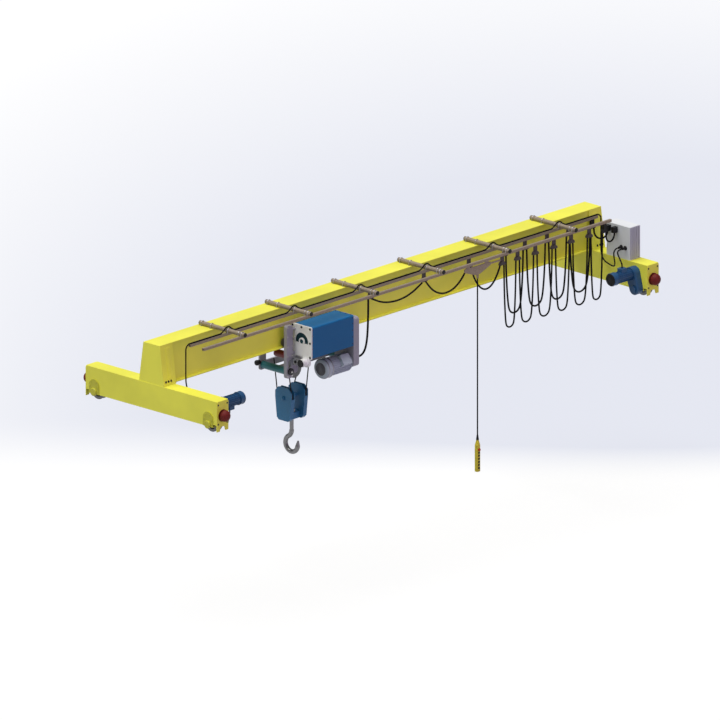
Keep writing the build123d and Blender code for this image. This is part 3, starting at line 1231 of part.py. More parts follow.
RETURN_TOP = (TIE_BEAM_Y, RETURN_SHEAVE_Z)
pieces = [
    rope_round_sheave(SHEAVE_XS[0], RETURN_TOP, (BACK_PLATE_FRONT - ROPE_DIAMETER, ANCHOR_Z)),
    rope_round_sheave(SHEAVE_XS[1], (DRUM_ROPE_Y, DRUM_Z), RETURN_TOP),
]
with BuildPart() as ropes:
    add(pieces)
    with BuildLine():
        over = ThreePointArc(
            (RETURN_SHEAVE_X - RETURN_ROPE_RADIUS, *RETURN_TOP),
            (RETURN_SHEAVE_X, TIE_BEAM_Y, RETURN_SHEAVE_Z + RETURN_ROPE_RADIUS),
            (RETURN_SHEAVE_X + RETURN_ROPE_RADIUS, *RETURN_TOP),
        )
    with BuildSketch(Plane(origin=over @ 0, z_dir=over % 0)):
        Circle(ROPE_DIAMETER / 2)
    sweep(path=over)
save(ropes, "hoist_ropes")


# Pendant control on its own trolley
pieces = [
    carrier_truck(plate_x, PENDANT_RAIL_Y, TROLLEY_PLATE_TOP - STEM_LENGTH / 2)
    for plate_x in (TROLLEY_PLATE_LEFT + STEM_LENGTH, TROLLEY_PLATE_RIGHT - STEM_LENGTH)
]
with BuildPart() as pendant_trolley:
    add(pieces)
    with BuildSketch(runway_plane(PENDANT_RAIL_Y + TROLLEY_PLATE / 2)):
        with BuildLine():
            Polyline(
                (TROLLEY_PLATE_LEFT, TROLLEY_PLATE_TOP),
                (TROLLEY_PLATE_RIGHT, TROLLEY_PLATE_TOP),
                (TROLLEY_PLATE_RIGHT, TOW_BAR_Z - TOW_BAR_HEIGHT),
                (PENDANT_X + TROLLEY_PLATE_FOOT / 2, TROLLEY_PLATE_BOTTOM),
                (PENDANT_X - TROLLEY_PLATE_FOOT / 2, TROLLEY_PLATE_BOTTOM),
                (TROLLEY_PLATE_LEFT, TOW_BAR_Z - TOW_BAR_HEIGHT),
                close=True,
            )
        make_face()
    extrude(amount=TROLLEY_PLATE)
    with BuildSketch(runway_plane(PENDANT_RAIL_Y + TROLLEY_PLATE / 2)):
        tow_end = PENDANT_CARRIER_X[0] - STEM_LENGTH / 2 - TOW_GAP
        with Locations(((TROLLEY_PLATE_RIGHT + tow_end) / 2, TOW_BAR_Z)):
            Rectangle(tow_end - TROLLEY_PLATE_RIGHT, TOW_BAR_HEIGHT)
    extrude(amount=TROLLEY_PLATE)
    with BuildSketch(Plane.XY.offset(TROLLEY_PLATE_BOTTOM)):
        with Locations((PENDANT_X, PENDANT_RAIL_Y)):
            Circle(GLAND_DIAMETER / 2)
    extrude(amount=-GLAND_LENGTH)
save(pendant_trolley, "pendant_trolley")

with BuildPart() as pendant_cable:
    with BuildSketch(Plane.XY.offset(TROLLEY_PLATE_BOTTOM - GLAND_LENGTH)):
        with Locations((PENDANT_X, PENDANT_RAIL_Y)):
            Circle(PENDANT_CABLE / 2)
    extrude(amount=PENDANT_TOP - TROLLEY_PLATE_BOTTOM + GLAND_LENGTH)
save(pendant_cable, "pendant_cable")

with BuildPart() as pendant:
    with BuildSketch(Plane.XY.offset(PENDANT_TOP - PENDANT_HEIGHT)):
        with Locations((PENDANT_X, PENDANT_RAIL_Y)):
            RectangleRounded(PENDANT_WIDTH, PENDANT_DEPTH, PENDANT_DEPTH / 5)
    extrude(amount=PENDANT_HEIGHT - PENDANT_TAPER)
    with BuildSketch(Plane.XY.offset(PENDANT_TOP - PENDANT_TAPER)):
        with Locations((PENDANT_X, PENDANT_RAIL_Y)):
            RectangleRounded(PENDANT_WIDTH, PENDANT_DEPTH, PENDANT_DEPTH / 5)
    with BuildSketch(Plane.XY.offset(PENDANT_TOP)):
        with Locations((PENDANT_X, PENDANT_RAIL_Y)):
            RectangleRounded(PENDANT_NECK, PENDANT_NECK, PENDANT_NECK / 3)
    loft()
save(pendant, "pendant_control")


# Control panel with its door on the outer side, cable glands and connector hoods on the inner side
with BuildPart() as panel:
    with BuildSketch(Plane.XY.offset(CARRIAGE_TOP)):
        with Locations(((PANEL_LEFT + PANEL_RIGHT - PANEL_DOOR) / 2, PANEL_FRONT + PANEL_LENGTH / 2)):
            RectangleRounded(PANEL_WIDTH - PANEL_DOOR, PANEL_LENGTH, PANEL_EDGE)
    extrude(amount=PANEL_HEIGHT)
    with BuildSketch(span_plane(PANEL_RIGHT - PANEL_DOOR)):
        with Locations((PANEL_FRONT + PANEL_LENGTH / 2, CARRIAGE_TOP + PANEL_HEIGHT / 2)):
            RectangleRounded(
                PANEL_LENGTH - 2 * PANEL_DOOR_MARGIN, PANEL_HEIGHT - 2 * PANEL_DOOR_MARGIN, PANEL_EDGE
            )
    extrude(amount=PANEL_DOOR)
save(panel, "control_panel")

with BuildPart() as panel_inlets:
    for gland_y in (MAIN_GLAND_Y, DRIVE_GLAND_Y):
        with BuildSketch(span_plane(PANEL_LEFT - GLAND_LENGTH, gland_y, GLAND_Z)):
            Circle(GLAND_DIAMETER / 2)
        extrude(amount=GLAND_LENGTH)
    for hood_y in HOOD_Y.values():
        with BuildSketch(Plane.XY.offset(HOOD_BOTTOM)):
            with Locations((PANEL_LEFT - HOOD_LENGTH / 2, hood_y)):
                RectangleRounded(HOOD_LENGTH, HOOD_WIDTH, PANEL_EDGE)
        extrude(amount=HOOD_HEIGHT)
save(panel_inlets, "panel_cable_inlets")


# Short hanging cables from the end clamps of the two festoons into the hoods on the panel
def feed_route(clamp_x, clamp_y, hood_y):
    start = (clamp_x + CABLE_EXIT, clamp_y, SADDLE_BOTTOM)
    end = (PANEL_LEFT - HOOD_LENGTH / 2, hood_y, HOOD_BOTTOM)
    return deep_loop(start, end, FEED_BOTTOM, FEED_ROUNDNESS, FEED_LEG)


feeds = {
    "hoist": (feed_route(HOIST_CLAMP_X, HOIST_RAIL_Y, HOOD_Y["hoist"]), HOIST_CABLE),
    "pendant": (feed_route(PENDANT_CLAMP_X, PENDANT_RAIL_Y, HOOD_Y["pendant"]), PENDANT_LOOP_CABLE),
}
pieces = [
    round_tube(f"{name} feed", hung(points, diameter), diameter)
    for name, (points, diameter) in feeds.items()
]
with BuildPart() as feed_cables:
    add(pieces)
save(feed_cables, "festoon_feed_cables")


# Drive cables: one from the panel along the hoist rail and over each arm to the left motor, one to the
# right motor
cable_z = C_RAIL_TOP + DRIVE_CABLE / 2 + CABLE_GAP
hump_z = ARM_Z + ARM_DIAMETER / 2 + DRIVE_CABLE
terminal_x = CARRIAGE_HALF + DRIVE_BODY + MOTOR_FLANGE + MOTOR_LENGTH / 2
terminal_reach = MOTOR_DIAMETER / 2 + TERMINAL_HEIGHT
left_terminal = (terminal_x, DRIVE_HEAD_Y, DRIVE_HEAD_Z - terminal_reach)
right_terminal = (RAIL_SPAN - terminal_x, DRIVE_HEAD_Y, DRIVE_HEAD_Z + terminal_reach)
over_arms = []
for arm_x in ARM_XS:
    over_arms += [
        (arm_x - HUMP_FOOT, HOIST_RAIL_Y, cable_z),
        (arm_x - HUMP_SIDE, HOIST_RAIL_Y, (cable_z + hump_z) / 2),
        (arm_x - HUMP_CREST, HOIST_RAIL_Y, hump_z),
        (arm_x + HUMP_CREST, HOIST_RAIL_Y, hump_z),
        (arm_x + HUMP_SIDE, HOIST_RAIL_Y, (cable_z + hump_z) / 2),
        (arm_x + HUMP_FOOT, HOIST_RAIL_Y, cable_z),
    ]
at_panel = [(RAIL_SPAN - inward, y, z) for inward, y, z in RIGHT_CABLE_POINTS]
at_motor = [(RAIL_SPAN - inward, y, z) for inward, y, z in MOTOR_CABLE_POINTS]
gland_x = PANEL_LEFT - GLAND_LENGTH
left_route = [left_terminal, *LEFT_CABLE_POINTS, *over_arms, *at_panel, (gland_x, MAIN_GLAND_Y, GLAND_Z)]
right_route = [(gland_x, DRIVE_GLAND_Y, GLAND_Z), *at_motor, right_terminal]
pieces = [
    round_tube("left drive cable", left_route, DRIVE_CABLE),
    round_tube("right drive cable", right_route, DRIVE_CABLE),
]
with BuildPart() as drive_cables:
    add(pieces)
save(drive_cables, "travel_drive_cables")

drop_start = (HOIST_CARRIER_X[0] - CABLE_EXIT, HOIST_RAIL_Y, SADDLE_BOTTOM - CABLE_GAP)
drop_points = [(DROP_GLAND_X + ahead, y, z) for ahead, y, z in DROP_CABLE_POINTS]
drop_end = (DROP_GLAND_X, HOIST_MOTOR_Y, DROP_GLAND_Z)
pieces = round_tube("hoist drop cable", [drop_start, *drop_points, drop_end], DROP_CABLE)
with BuildPart() as drop_cable:
    add(pieces)
save(drop_cable, "hoist_drop_cable")


# Cross-travel motor under the girder, bolted to the back of the front column
with BuildPart() as traverse_motor:
    plane = Plane(origin=(LEFT_AXLE_X, COLUMN_BACK, TRAVERSE_MOTOR_Z), x_dir=(1, 0, 0), z_dir=(0, 1, 0))
    with BuildSketch(plane):
        Circle(TRAVERSE_MOTOR_DIAMETER / 2)
    extrude(amount=TRAVERSE_MOTOR_LENGTH)
    fillet(traverse_motor.faces().sort_by(Axis.Y)[-1].edges(), TRAVERSE_MOTOR_DIAMETER / 8)
save(traverse_motor, "trolley_drive_motor")
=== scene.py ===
# %% [markdown]
# An overhead bridge crane, dressed around its CAD frame. The frame gives every solid at its real
# size and place, in metres: X along the girder, Y along the runway, Z up from the rail tops.
# This lesson adds what the frame leaves plain: light, paint, cables that hang, laid wire rope,
# and the small hardware that makes a machine look built.

# %% Load the frame
from math import acos, atan2, cos, degrees, hypot, pi, radians, sin

import bmesh
import bpy
from mathutils import Matrix, Vector


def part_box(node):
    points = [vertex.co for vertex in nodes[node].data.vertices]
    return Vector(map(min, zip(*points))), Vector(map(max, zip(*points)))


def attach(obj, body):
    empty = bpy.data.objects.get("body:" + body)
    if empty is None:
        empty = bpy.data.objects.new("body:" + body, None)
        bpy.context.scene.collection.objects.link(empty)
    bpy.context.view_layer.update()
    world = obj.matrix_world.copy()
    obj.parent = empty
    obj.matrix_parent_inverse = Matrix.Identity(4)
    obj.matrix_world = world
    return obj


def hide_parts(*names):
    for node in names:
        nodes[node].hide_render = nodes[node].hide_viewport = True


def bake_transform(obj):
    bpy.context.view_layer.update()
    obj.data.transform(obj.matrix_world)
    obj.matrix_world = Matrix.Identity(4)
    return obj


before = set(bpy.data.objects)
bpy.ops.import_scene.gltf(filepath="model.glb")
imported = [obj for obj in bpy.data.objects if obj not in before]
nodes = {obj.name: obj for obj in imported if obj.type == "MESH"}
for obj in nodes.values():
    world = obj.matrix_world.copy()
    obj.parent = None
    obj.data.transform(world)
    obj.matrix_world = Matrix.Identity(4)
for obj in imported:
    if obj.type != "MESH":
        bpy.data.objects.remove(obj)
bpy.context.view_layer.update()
bpy.ops.object.select_all(action="DESELECT")


def middle_of(name):
    low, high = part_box(name)
    return (low + high) / 2


# %% [markdown]
# The picture is drawn without perspective: parallel edges stay parallel, so the camera is
# orthographic. It looks down a little from the left end, and its scale is the width of the picture
# in metres. The point in the middle of the picture is measured from the middle of the girder.

# %% Camera
VIEW_AZIMUTH = -46.5
VIEW_ELEVATION = 17.53
PICTURE_WIDTH = 11.23
SIDEWAYS = -0.190
UPWARDS = -0.723
CAMERA_DISTANCE = 40.0

turn = radians(VIEW_AZIMUTH)
tilt = radians(VIEW_ELEVATION)
towards_camera = Vector((sin(turn) * cos(tilt), -cos(turn) * cos(tilt), sin(tilt)))
picture_right = Vector((cos(turn), sin(turn), 0.0))
picture_up = towards_camera.cross(picture_right)
girder_middle = middle_of("girder_runway_flange")
girder_middle.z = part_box("girder_runway_flange")[0].z
picture_middle = girder_middle + SIDEWAYS * picture_right + UPWARDS * picture_up

bpy.ops.object.camera_add(location=picture_middle + CAMERA_DISTANCE * towards_camera)
camera = bpy.context.object
camera.name = "Camera"
camera.rotation_euler = (-towards_camera).to_track_quat("-Z", "Y").to_euler()
camera.data.type = "ORTHO"
camera.data.ortho_scale = PICTURE_WIDTH
camera.data.clip_end = 4 * CAMERA_DISTANCE
bpy.context.scene.camera = camera
print("camera at", [round(v, 2) for v in camera.location])

# %% [markdown]
# Studio light: one wide soft lamp overhead makes the top faces bright, a weaker one lights the faces
# at the left ends, and a weak lilac lamp tints the faces along the girder, which are the darkest in
# the picture. The sky fills in the rest, and the camera sees it as white where the floor ends. The
# floor is a plain sheet, far enough below for the lowered hook to clear it. Shader nodes are added by a
# helper that takes a node's constants and its links together.

# %% Light and floor
FLOOR_Z = -3.32
FLOOR_SIZE = 120.0
SKY_COLOUR = (0.95, 0.96, 1.0, 1.0)
SKY_STRENGTH = 0.28
WHITE = (1.0, 1.0, 1.0, 1.0)


def sun(name, direction, strength, colour, angle):
    """A lamp so far away that its light is parallel; direction points from the object to the lamp."""
    bpy.ops.object.light_add(type="SUN")
    lamp = bpy.context.object
    lamp.name = name
    lamp.rotation_euler = Vector(direction).to_track_quat("Z", "Y").to_euler()
    lamp.data.energy = strength
    lamp.data.color = colour
    lamp.data.angle = radians(angle)
    return lamp


def node(tree, kind, **inputs):
    """A new shader node. An input is a constant, or the output of another node, which is linked."""
    made = tree.nodes.new(f"ShaderNode{kind}")
    for name, value in inputs.items():
        socket = made.inputs[name.replace("_", " ")]
        if isinstance(value, bpy.types.NodeSocket):
            tree.links.new(value, socket)
        else:
            socket.default_value = value
    return made


def mixed(tree, share, first, second):
    """A shader that goes from the first to the second as the share goes from 0 to 1."""
    mix = node(tree, "MixShader", Fac=share)
    tree.links.new(first, mix.inputs[1])
    tree.links.new(second, mix.inputs[2])
    return mix.outputs["Shader"]


sun("Overhead lamp", (-0.20, 0.10, 1.0), 2.85, (1.0, 0.99, 0.96), 50)
sun("Left lamp", (-1.0, -0.10, 0.12), 0.26, (0.98, 1.0, 0.96), 40)
sun("Front lamp", (0.15, -1.0, 0.05), 0.45, (1.0, 0.45, 1.0), 40)

world = bpy.data.worlds.new("Studio")
world.use_nodes = True
bpy.context.scene.world = world
studio = world.node_tree
sky = studio.nodes["Background"]
sky.inputs["Color"].default_value = SKY_COLOUR
sky.inputs["Strength"].default_value = SKY_STRENGTH
backdrop = node(studio, "Background", Color=WHITE)
camera_ray = node(studio, "LightPath").outputs["Is Camera Ray"]
seen_sky = mixed(studio, camera_ray, sky.outputs["Background"], backdrop.outputs["Background"])
studio.links.new(seen_sky, studio.nodes["World Output"].inputs["Surface"])

bpy.ops.mesh.primitive_plane_add(size=FLOOR_SIZE, location=(girder_middle.x, girder_middle.y, FLOOR_Z))
floor = bpy.context.object
floor.name = "Floor"
bpy.context.scene.view_settings.view_transform = "Standard"
print("floor at", FLOOR_Z)

# %% [markdown]
# A finish is a small node tree. Each one reads Object coordinates, so that its grain has a real
# size in metres, adds a slow drift of colour, and gives the surface a fine bump. The numbers that
# are the same all over the surface are set on the shader itself.

# %% Helpers for finishes


def new_finish(name, roughness, metallic=0.0, coat=0.0, specular=0.5):
    finish = bpy.data.materials.new(name)
    finish.use_nodes = True
    shader = finish.node_tree.nodes["Principled BSDF"]
    shader.inputs["Roughness"].default_value = roughness
    shader.inputs["Metallic"].default_value = metallic
    shader.inputs["Coat Weight"].default_value = coat
    shader.inputs["Specular IOR Level"].default_value = specular
    return finish, finish.node_tree, shader


def grain(tree, scale, detail=3.0, stretch=(1.0, 1.0, 1.0)):
    """Noise of a given number of waves per metre."""
    place = node(tree, "TexCoord").outputs["Object"]
    mapping = node(tree, "Mapping", Vector=place, Scale=stretch)
    noise = node(tree, "TexNoise", Vector=mapping.outputs["Vector"], Scale=scale, Detail=detail)
    return noise.outputs["Fac"]


def two_colours(tree, factor, first, second, low=0.35, high=0.65):
    ramp = node(tree, "ValToRGB", Fac=factor)
    ramp.color_ramp.elements[0].position = low
    ramp.color_ramp.elements[0].color = (*first, 1.0)
    ramp.color_ramp.elements[1].position = high
    ramp.color_ramp.elements[1].color = (*second, 1.0)
    return ramp.outputs["Color"]


def roughen(tree, shader, factor, strength, distance):
    bump = node(tree, "Bump", Height=factor, Strength=strength, Distance=distance)
    tree.links.new(bump.outputs["Normal"], shader.inputs["Normal"])


def vary_roughness(tree, shader, factor, low, high):
    spread = node(tree, "MapRange", Value=factor, To_Min=low, To_Max=high)
    tree.links.new(spread.outputs["Result"], shader.inputs["Roughness"])


def drift_colour(tree, shader, factor, colour, spread):
    """Lets the surface drift between a darker and a lighter shade of its colour."""
    shades = [tuple(min(1.0, channel * (1 + change)) for channel in colour) for change in (-spread, spread)]
    tree.links.new(two_colours(tree, factor, *shades), shader.inputs["Base Color"])


def paint(piece, finish):
    piece.data.materials.clear()
    piece.data.materials.append(finish)


print("finish helpers ready")

# %% [markdown]
# Sprayed enamel is nearly one colour: it drifts a little from thick to thin, and has the fine
# ripple that painters call orange peel. The same recipe in several colours paints most of the
# crane.

# %% Paints
PEEL_WAVES = 160.0
PEEL_DEPTH = 0.002
DRIFT_WAVES = 1.3
SHEEN_WAVES = 9.0


def enamel(name, colour, roughness=0.40, coat=0.06, drift=0.06, peel=0.05, specular=0.32):
    finish, tree, shader = new_finish(name, roughness, coat=coat, specular=specular)
    drift_colour(tree, shader, grain(tree, DRIFT_WAVES), colour, drift)
    roughen(tree, shader, grain(tree, PEEL_WAVES, 2.0), peel, PEEL_DEPTH)
    vary_roughness(tree, shader, grain(tree, SHEEN_WAVES), roughness - 0.06, roughness + 0.08)
    return finish


yellow_enamel = enamel("Yellow enamel", (0.87, 0.84, 0.085))
# A darker copy of the yellow enamel: painted shade for the bearing covers on the carriages' side faces,
# which are yellow like the rest.
shaded_yellow_enamel = enamel("Yellow enamel, painted shade", (0.56, 0.54, 0.045))
blue_enamel = enamel("Blue enamel", (0.016, 0.078, 0.19))
cover_enamel = enamel("Drum cover blue", (0.011, 0.128, 0.32), coat=0.0, specular=0.16)
block_enamel = enamel("Hook block blue", (0.030, 0.165, 0.34))
white_enamel = enamel("White enamel", (0.92, 0.92, 0.93), roughness=0.42)
mauve_enamel = enamel("Mauve grey enamel", (0.33, 0.325, 0.385))
motor_enamel = enamel("Motor grey enamel", (0.44, 0.50, 0.58))
grey_enamel = enamel("Fan guard grey", (0.10, 0.10, 0.12))
red_enamel = enamel("Dark red enamel", (0.14, 0.010, 0.014))
teal_enamel = enamel("Teal enamel", (0.032, 0.175, 0.215))
drum_enamel = enamel("Drum green", (0.009, 0.055, 0.070))
# The panel grey is set lighter than its own so that the panel's left face looks lit, and the next one is a
# darker copy of it: painted light and painted shade of one grey.
panel_enamel = enamel("Panel grey enamel", (0.78, 0.80, 0.83), roughness=0.5, coat=0.0, peel=0.16)
panel_painted_shade_enamel = enamel("Panel grey, painted shade", (0.50, 0.51, 0.60), roughness=0.5, coat=0.0, peel=0.16)
print("paints made")

# %% [markdown]
# Bare metal differs by how it was worked. Galvanised rails are dull with a faint spangle, turned
# wheels have fine rings, wire rope is dark and greasy, and a forged hook is rough under its wear.

# %% Bare metals
GRAIN_DEPTH = 0.001


def metal(name, colour, roughness, waves, bump, stretch=(1.0, 1.0, 1.0), contrast=0.15, metallic=0.85):
    finish, tree, shader = new_finish(name, roughness, metallic=metallic)
    texture = grain(tree, waves, 4.0, stretch)
    drift_colour(tree, shader, texture, colour, contrast)
    roughen(tree, shader, texture, bump, GRAIN_DEPTH)
    vary_roughness(tree, shader, texture, roughness - 0.08, roughness + 0.10)
    return finish


rail_metal = metal("Galvanised rail", (0.31, 0.25, 0.185), 0.62, 45.0, 0.10, metallic=0.35)
wheel_metal = metal("Turned steel", (0.13, 0.13, 0.135), 0.40, 120.0, 0.08, (0.2, 1.0, 1.0))
hook_metal = metal("Forged steel", (0.20, 0.20, 0.21), 0.36, 60.0, 0.22)
rope_metal = metal("Greased wire", (0.006, 0.006, 0.007), 0.66, 300.0, 0.06, metallic=0.1)
bolt_metal = metal("Zinc plated steel", (0.48, 0.48, 0.47), 0.34, 200.0, 0.06)
dark_bolt_metal = metal("Black oxide steel", (0.035, 0.035, 0.04), 0.42, 200.0, 0.06)
silver_metal = metal("Cast aluminium", (0.30, 0.30, 0.33), 0.48, 140.0, 0.12)
print("metals made")

# %% [markdown]
# Rubber and moulded plastic scatter light softly. The buffers are dark red rubber with a powdery
# bloom, the cable jackets are black with a faint extrusion grain, the little trolleys of the cables
# are brown grey, and the hanging control is yellow moulded plastic.

# %% Rubber and plastic
TINT_WAVES = 14.0
BLOOM_WAVES = 30.0


def moulded(name, colour, roughness, waves=220.0, bump=0.12, contrast=0.12, specular=0.3):
    finish, tree, shader = new_finish(name, roughness, specular=specular)
    drift_colour(tree, shader, grain(tree, TINT_WAVES), colour, contrast)
    roughen(tree, shader, grain(tree, waves), bump, GRAIN_DEPTH)
    vary_roughness(tree, shader, grain(tree, BLOOM_WAVES), roughness - 0.07, roughness + 0.07)
    return finish


red_rubber = moulded("Dark red rubber", (0.14, 0.007, 0.005), 0.62)
cable_jacket = moulded(
    "Black cable jacket", (0.004, 0.004, 0.005), 0.66, waves=260.0, bump=0.03, specular=0.12,
)
black_plastic = moulded("Black moulded plastic", (0.010, 0.010, 0.012), 0.50, specular=0.22)
pendant_plastic = moulded("Yellow moulded plastic", (0.70, 0.58, 0.04), 0.45)
red_plastic = moulded("Red button plastic", (0.50, 0.02, 0.02), 0.30)
carrier_plastic = moulded("Brown grey plastic", (0.060, 0.047, 0.046), 0.50)
print("rubber and plastics made")

# %% [markdown]
# Each solid of the frame keeps its shape and takes one of these finishes. The dictionary below is
# the paint shop's list.

# %% Finishes of the CAD solids
NODE_FINISHES = {
    yellow_enamel: [
        "end_carriage_left", "end_carriage_right", "carriage_end_plates", "girder_webs_and_top",
        "girder_runway_flange", "girder_end_feet",
    ],
    # The bearing covers take the darker copy of the yellow, as painted shade.
    shaded_yellow_enamel: ["bearing_covers"],
    red_rubber: ["rubber_buffers"],
    blue_enamel: ["travel_gearbox_left", "travel_gearbox_right", "travel_motor_left", "travel_motor_right"],
    cover_enamel: ["hoist_drum_cover"],
    block_enamel: ["hook_block_frame"],
    white_enamel: ["hoist_drum_end_plate", "hoist_limit_switch"],
    mauve_enamel: ["hoist_gearbox", "trolley_front_column", "trolley_back_frame", "return_sheave_beam"],
    motor_enamel: ["hoist_motor"],
    red_enamel: ["trolley_drive_motor"],
    teal_enamel: ["trolley_cross_tubes"],
    drum_enamel: ["hoist_rope_drum"],
    panel_enamel: ["control_panel"],
    rail_metal: ["cable_arms", "hoist_cable_rail", "pendant_cable_rail", "pendant_trolley"],
    wheel_metal: [
        "rail_wheel_front_left", "rail_wheel_front_right", "rail_wheel_rear_left", "rail_wheel_rear_right",
        "trolley_wheels", "return_sheave", "hook_block_sheaves",
    ],
    hook_metal: ["load_hook"],
    rope_metal: ["hoist_ropes"],
    cable_jacket: [
        "travel_drive_cables", "festoon_feed_cables", "hoist_festoon_cable", "pendant_festoon_cable",
        "hoist_drop_cable", "pendant_cable",
    ],
    black_plastic: ["festoon_end_clamps", "panel_cable_inlets"],
    pendant_plastic: ["pendant_control"],
}
for finish, names in NODE_FINISHES.items():
    for name in names:
        paint(nodes[name], finish)
for name in nodes:
    if "cable_carrier" in name:
        paint(nodes[name], carrier_plastic)
print(sum(len(names) for names in NODE_FINISHES.values()), "solids painted")

# %% [markdown]
# The floor is white in front and turns pale lavender towards the right and the back. Two gradients
# on its own coordinates give that: one across a soft line, one round a middle. What the camera and
# mirror-like metal see of it is mostly its own brightness, with a little real light so that the
# crane's faint shadow stays. Light that bounces off it sees a darker grey, or it would fill every
# shadow from below.

# %% Floor finish
DEPTH_TURN = radians(43.8)
SOFT_LINE = (2.41, 2.31, 0.0)
SOFT_LINE_WIDTH = 3.6
LAVENDER_MIDDLE = (7.57, 1.44, 0.0)
LAVENDER_SPREAD = (27.0, 15.0, 1.0)
FLOOR_WHITE = (1.0, 1.0, 1.0)
FLOOR_LAVENDER = (0.76, 0.78, 0.86)
FLOOR_LIT_SHARE = 0.20
FLOOR_BOUNCE = (0.30, 0.30, 0.32, 1.0)

floor_finish = bpy.data.materials.new("Studio sheet")
floor_finish.use_nodes = True
tree = floor_finish.node_tree
tree.nodes.remove(tree.nodes["Principled BSDF"])


def floor_gradient(kind, middle, scale):
    place = node(tree, "TexCoord").outputs["Object"]
    turned_by = (0.0, 0.0, DEPTH_TURN)
    mapping = node(tree, "Mapping", Vector=place, Location=middle, Rotation=turned_by, Scale=scale)
    mapping.vector_type = "TEXTURE"
    gradient = node(tree, "TexGradient", Vector=mapping.outputs["Vector"])
    gradient.gradient_type = kind
    return gradient.outputs["Fac"]


def combined(operation, first, second):
    result = node(tree, "Math")
    result.operation = operation
    tree.links.new(first, result.inputs[0])
    tree.links.new(second, result.inputs[1])
    return result.outputs["Value"]


line = floor_gradient("EASING", SOFT_LINE, (SOFT_LINE_WIDTH, 1.0, 1.0))
patch = floor_gradient("SPHERICAL", LAVENDER_MIDDLE, LAVENDER_SPREAD)
shade = two_colours(tree, combined("MULTIPLY", line, patch), FLOOR_WHITE, FLOOR_LAVENDER, 0.0, 0.5)
glow = node(tree, "Emission", Color=shade).outputs["Emission"]
sheet = node(tree, "BsdfDiffuse", Color=shade).outputs["BSDF"]
bounce = node(tree, "BsdfDiffuse", Color=FLOOR_BOUNCE).outputs["BSDF"]
seen = mixed(tree, FLOOR_LIT_SHARE, glow, sheet)
rays = node(tree, "LightPath").outputs
mirror = combined("MAXIMUM", rays["Is Glossy Ray"], rays["Is Transmission Ray"])
direct = combined("MAXIMUM", rays["Is Camera Ray"], mirror)
tree.links.new(mixed(tree, direct, bounce, seen), tree.nodes["Material Output"].inputs["Surface"])
floor.data.materials.append(floor_finish)
print("floor painted")

# %% [markdown]
# The cables hang in loops from little trolleys. Each loop is a smooth curve through the same points
# as its plain solid: a NURBS spline, which rounds every corner the way a stiff cable does. The
# curve is made a mesh tube.

# %% Cable helpers
SADDLE_BOTTOM = round(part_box("hoist_cable_carrier_1")[0].z, 3)
CABLE_EXIT = 0.040
CABLE_GAP = 0.0004
LOWERING_STEPS = 4
SPLINE_STEPS = 10
TUBE_SIDES = 6


def spline_curve(name, points, radius):
    """A NURBS curve with these control points, as a round tube of this radius."""
    data = bpy.data.curves.new(name, "CURVE")
    data.dimensions = "3D"
    spline = data.splines.new("NURBS")
    spline.points.add(len(points) - 1)
    for point, place in zip(spline.points, points):
        point.co = (*place, 1.0)
    spline.order_u = 3
    spline.use_endpoint_u = True
    spline.resolution_u = SPLINE_STEPS
    data.bevel_depth = radius
    data.bevel_resolution = TUBE_SIDES
    data.use_fill_caps = True
    curve = bpy.data.objects.new(name, data)
    bpy.context.scene.collection.objects.link(curve)
    return curve


def centreline(curve):
    """The points of a curve's own line, read with its bevel off."""
    depth = curve.data.bevel_depth
    curve.data.bevel_depth = 0.0
    bpy.context.view_layer.update()
    line = bpy.data.meshes.new_from_object(curve)
    path = [vertex.co.copy() for vertex in line.vertices]
    bpy.data.meshes.remove(line)
    curve.data.bevel_depth = depth
    return path


def only(piece):
    """Selects one piece and makes it the active one."""
    bpy.ops.object.select_all(action="DESELECT")
    piece.select_set(True)
    bpy.context.view_layer.objects.active = piece


def as_mesh(curve):
    only(curve)
    bpy.ops.object.convert(target="MESH")
    bpy.ops.object.shade_smooth()
    return bpy.context.object


def path_length(path):
    return sum((after - before).length for before, after in zip(path, path[1:]))


def cable(name, points, diameter):
    """A hanging cable as a mesh tube in the black cable jacket."""
    curve = spline_curve(name, points, diameter / 2)
    path = centreline(curve)
    tube = as_mesh(curve)
    paint(tube, cable_jacket)
    return tube


def lowered(end, following, diameter):
    """The end of a cable, let down so that its cut face clears the saddle over it."""
    lower = end[2]
    for _ in range(LOWERING_STEPS):
        run = Vector(following) - Vector((end[0], end[1], lower))
        sideways = hypot(run.x, run.y) / run.length
        lower = end[2] - sideways * diameter / 2 - CABLE_GAP
    return (end[0], end[1], lower)


def hung(points, diameter):
    first = lowered(points[0], points[1], diameter)
    last = lowered(points[-1], points[-2], diameter)
    return [first, *points[1:-1], last]


print("cables leave their saddles at", SADDLE_BOTTOM)

# %% [markdown]
# A deep loop has two legs that lean in a little and a round end. A shallow loop is one that its
# trolleys pull nearly straight. The points of each are shares of its width and depth.

# %% Loop shapes
LOOP_LEG = [(0.0, 0.0), (0.07, 0.2), (0.18, 0.4), (0.36, 0.6), (0.61, 0.8)]
FEED_LEG = [(0.0, 0.0), (0.35, 0.5)]
LOOP_END_ANGLES = [14.0, 52.0, 90.0, 128.0, 166.0]
LOOP_END_ROUNDNESS = 0.70
FEED_ROUNDNESS = 0.93
SHALLOW_LOOP = [
    (0.0, 0.0), (0.06, 0.26), (0.15, 0.56), (0.27, 0.82), (0.42, 0.98),
    (0.58, 0.98), (0.73, 0.82), (0.85, 0.56), (0.94, 0.26), (1.0, 0.0),
]


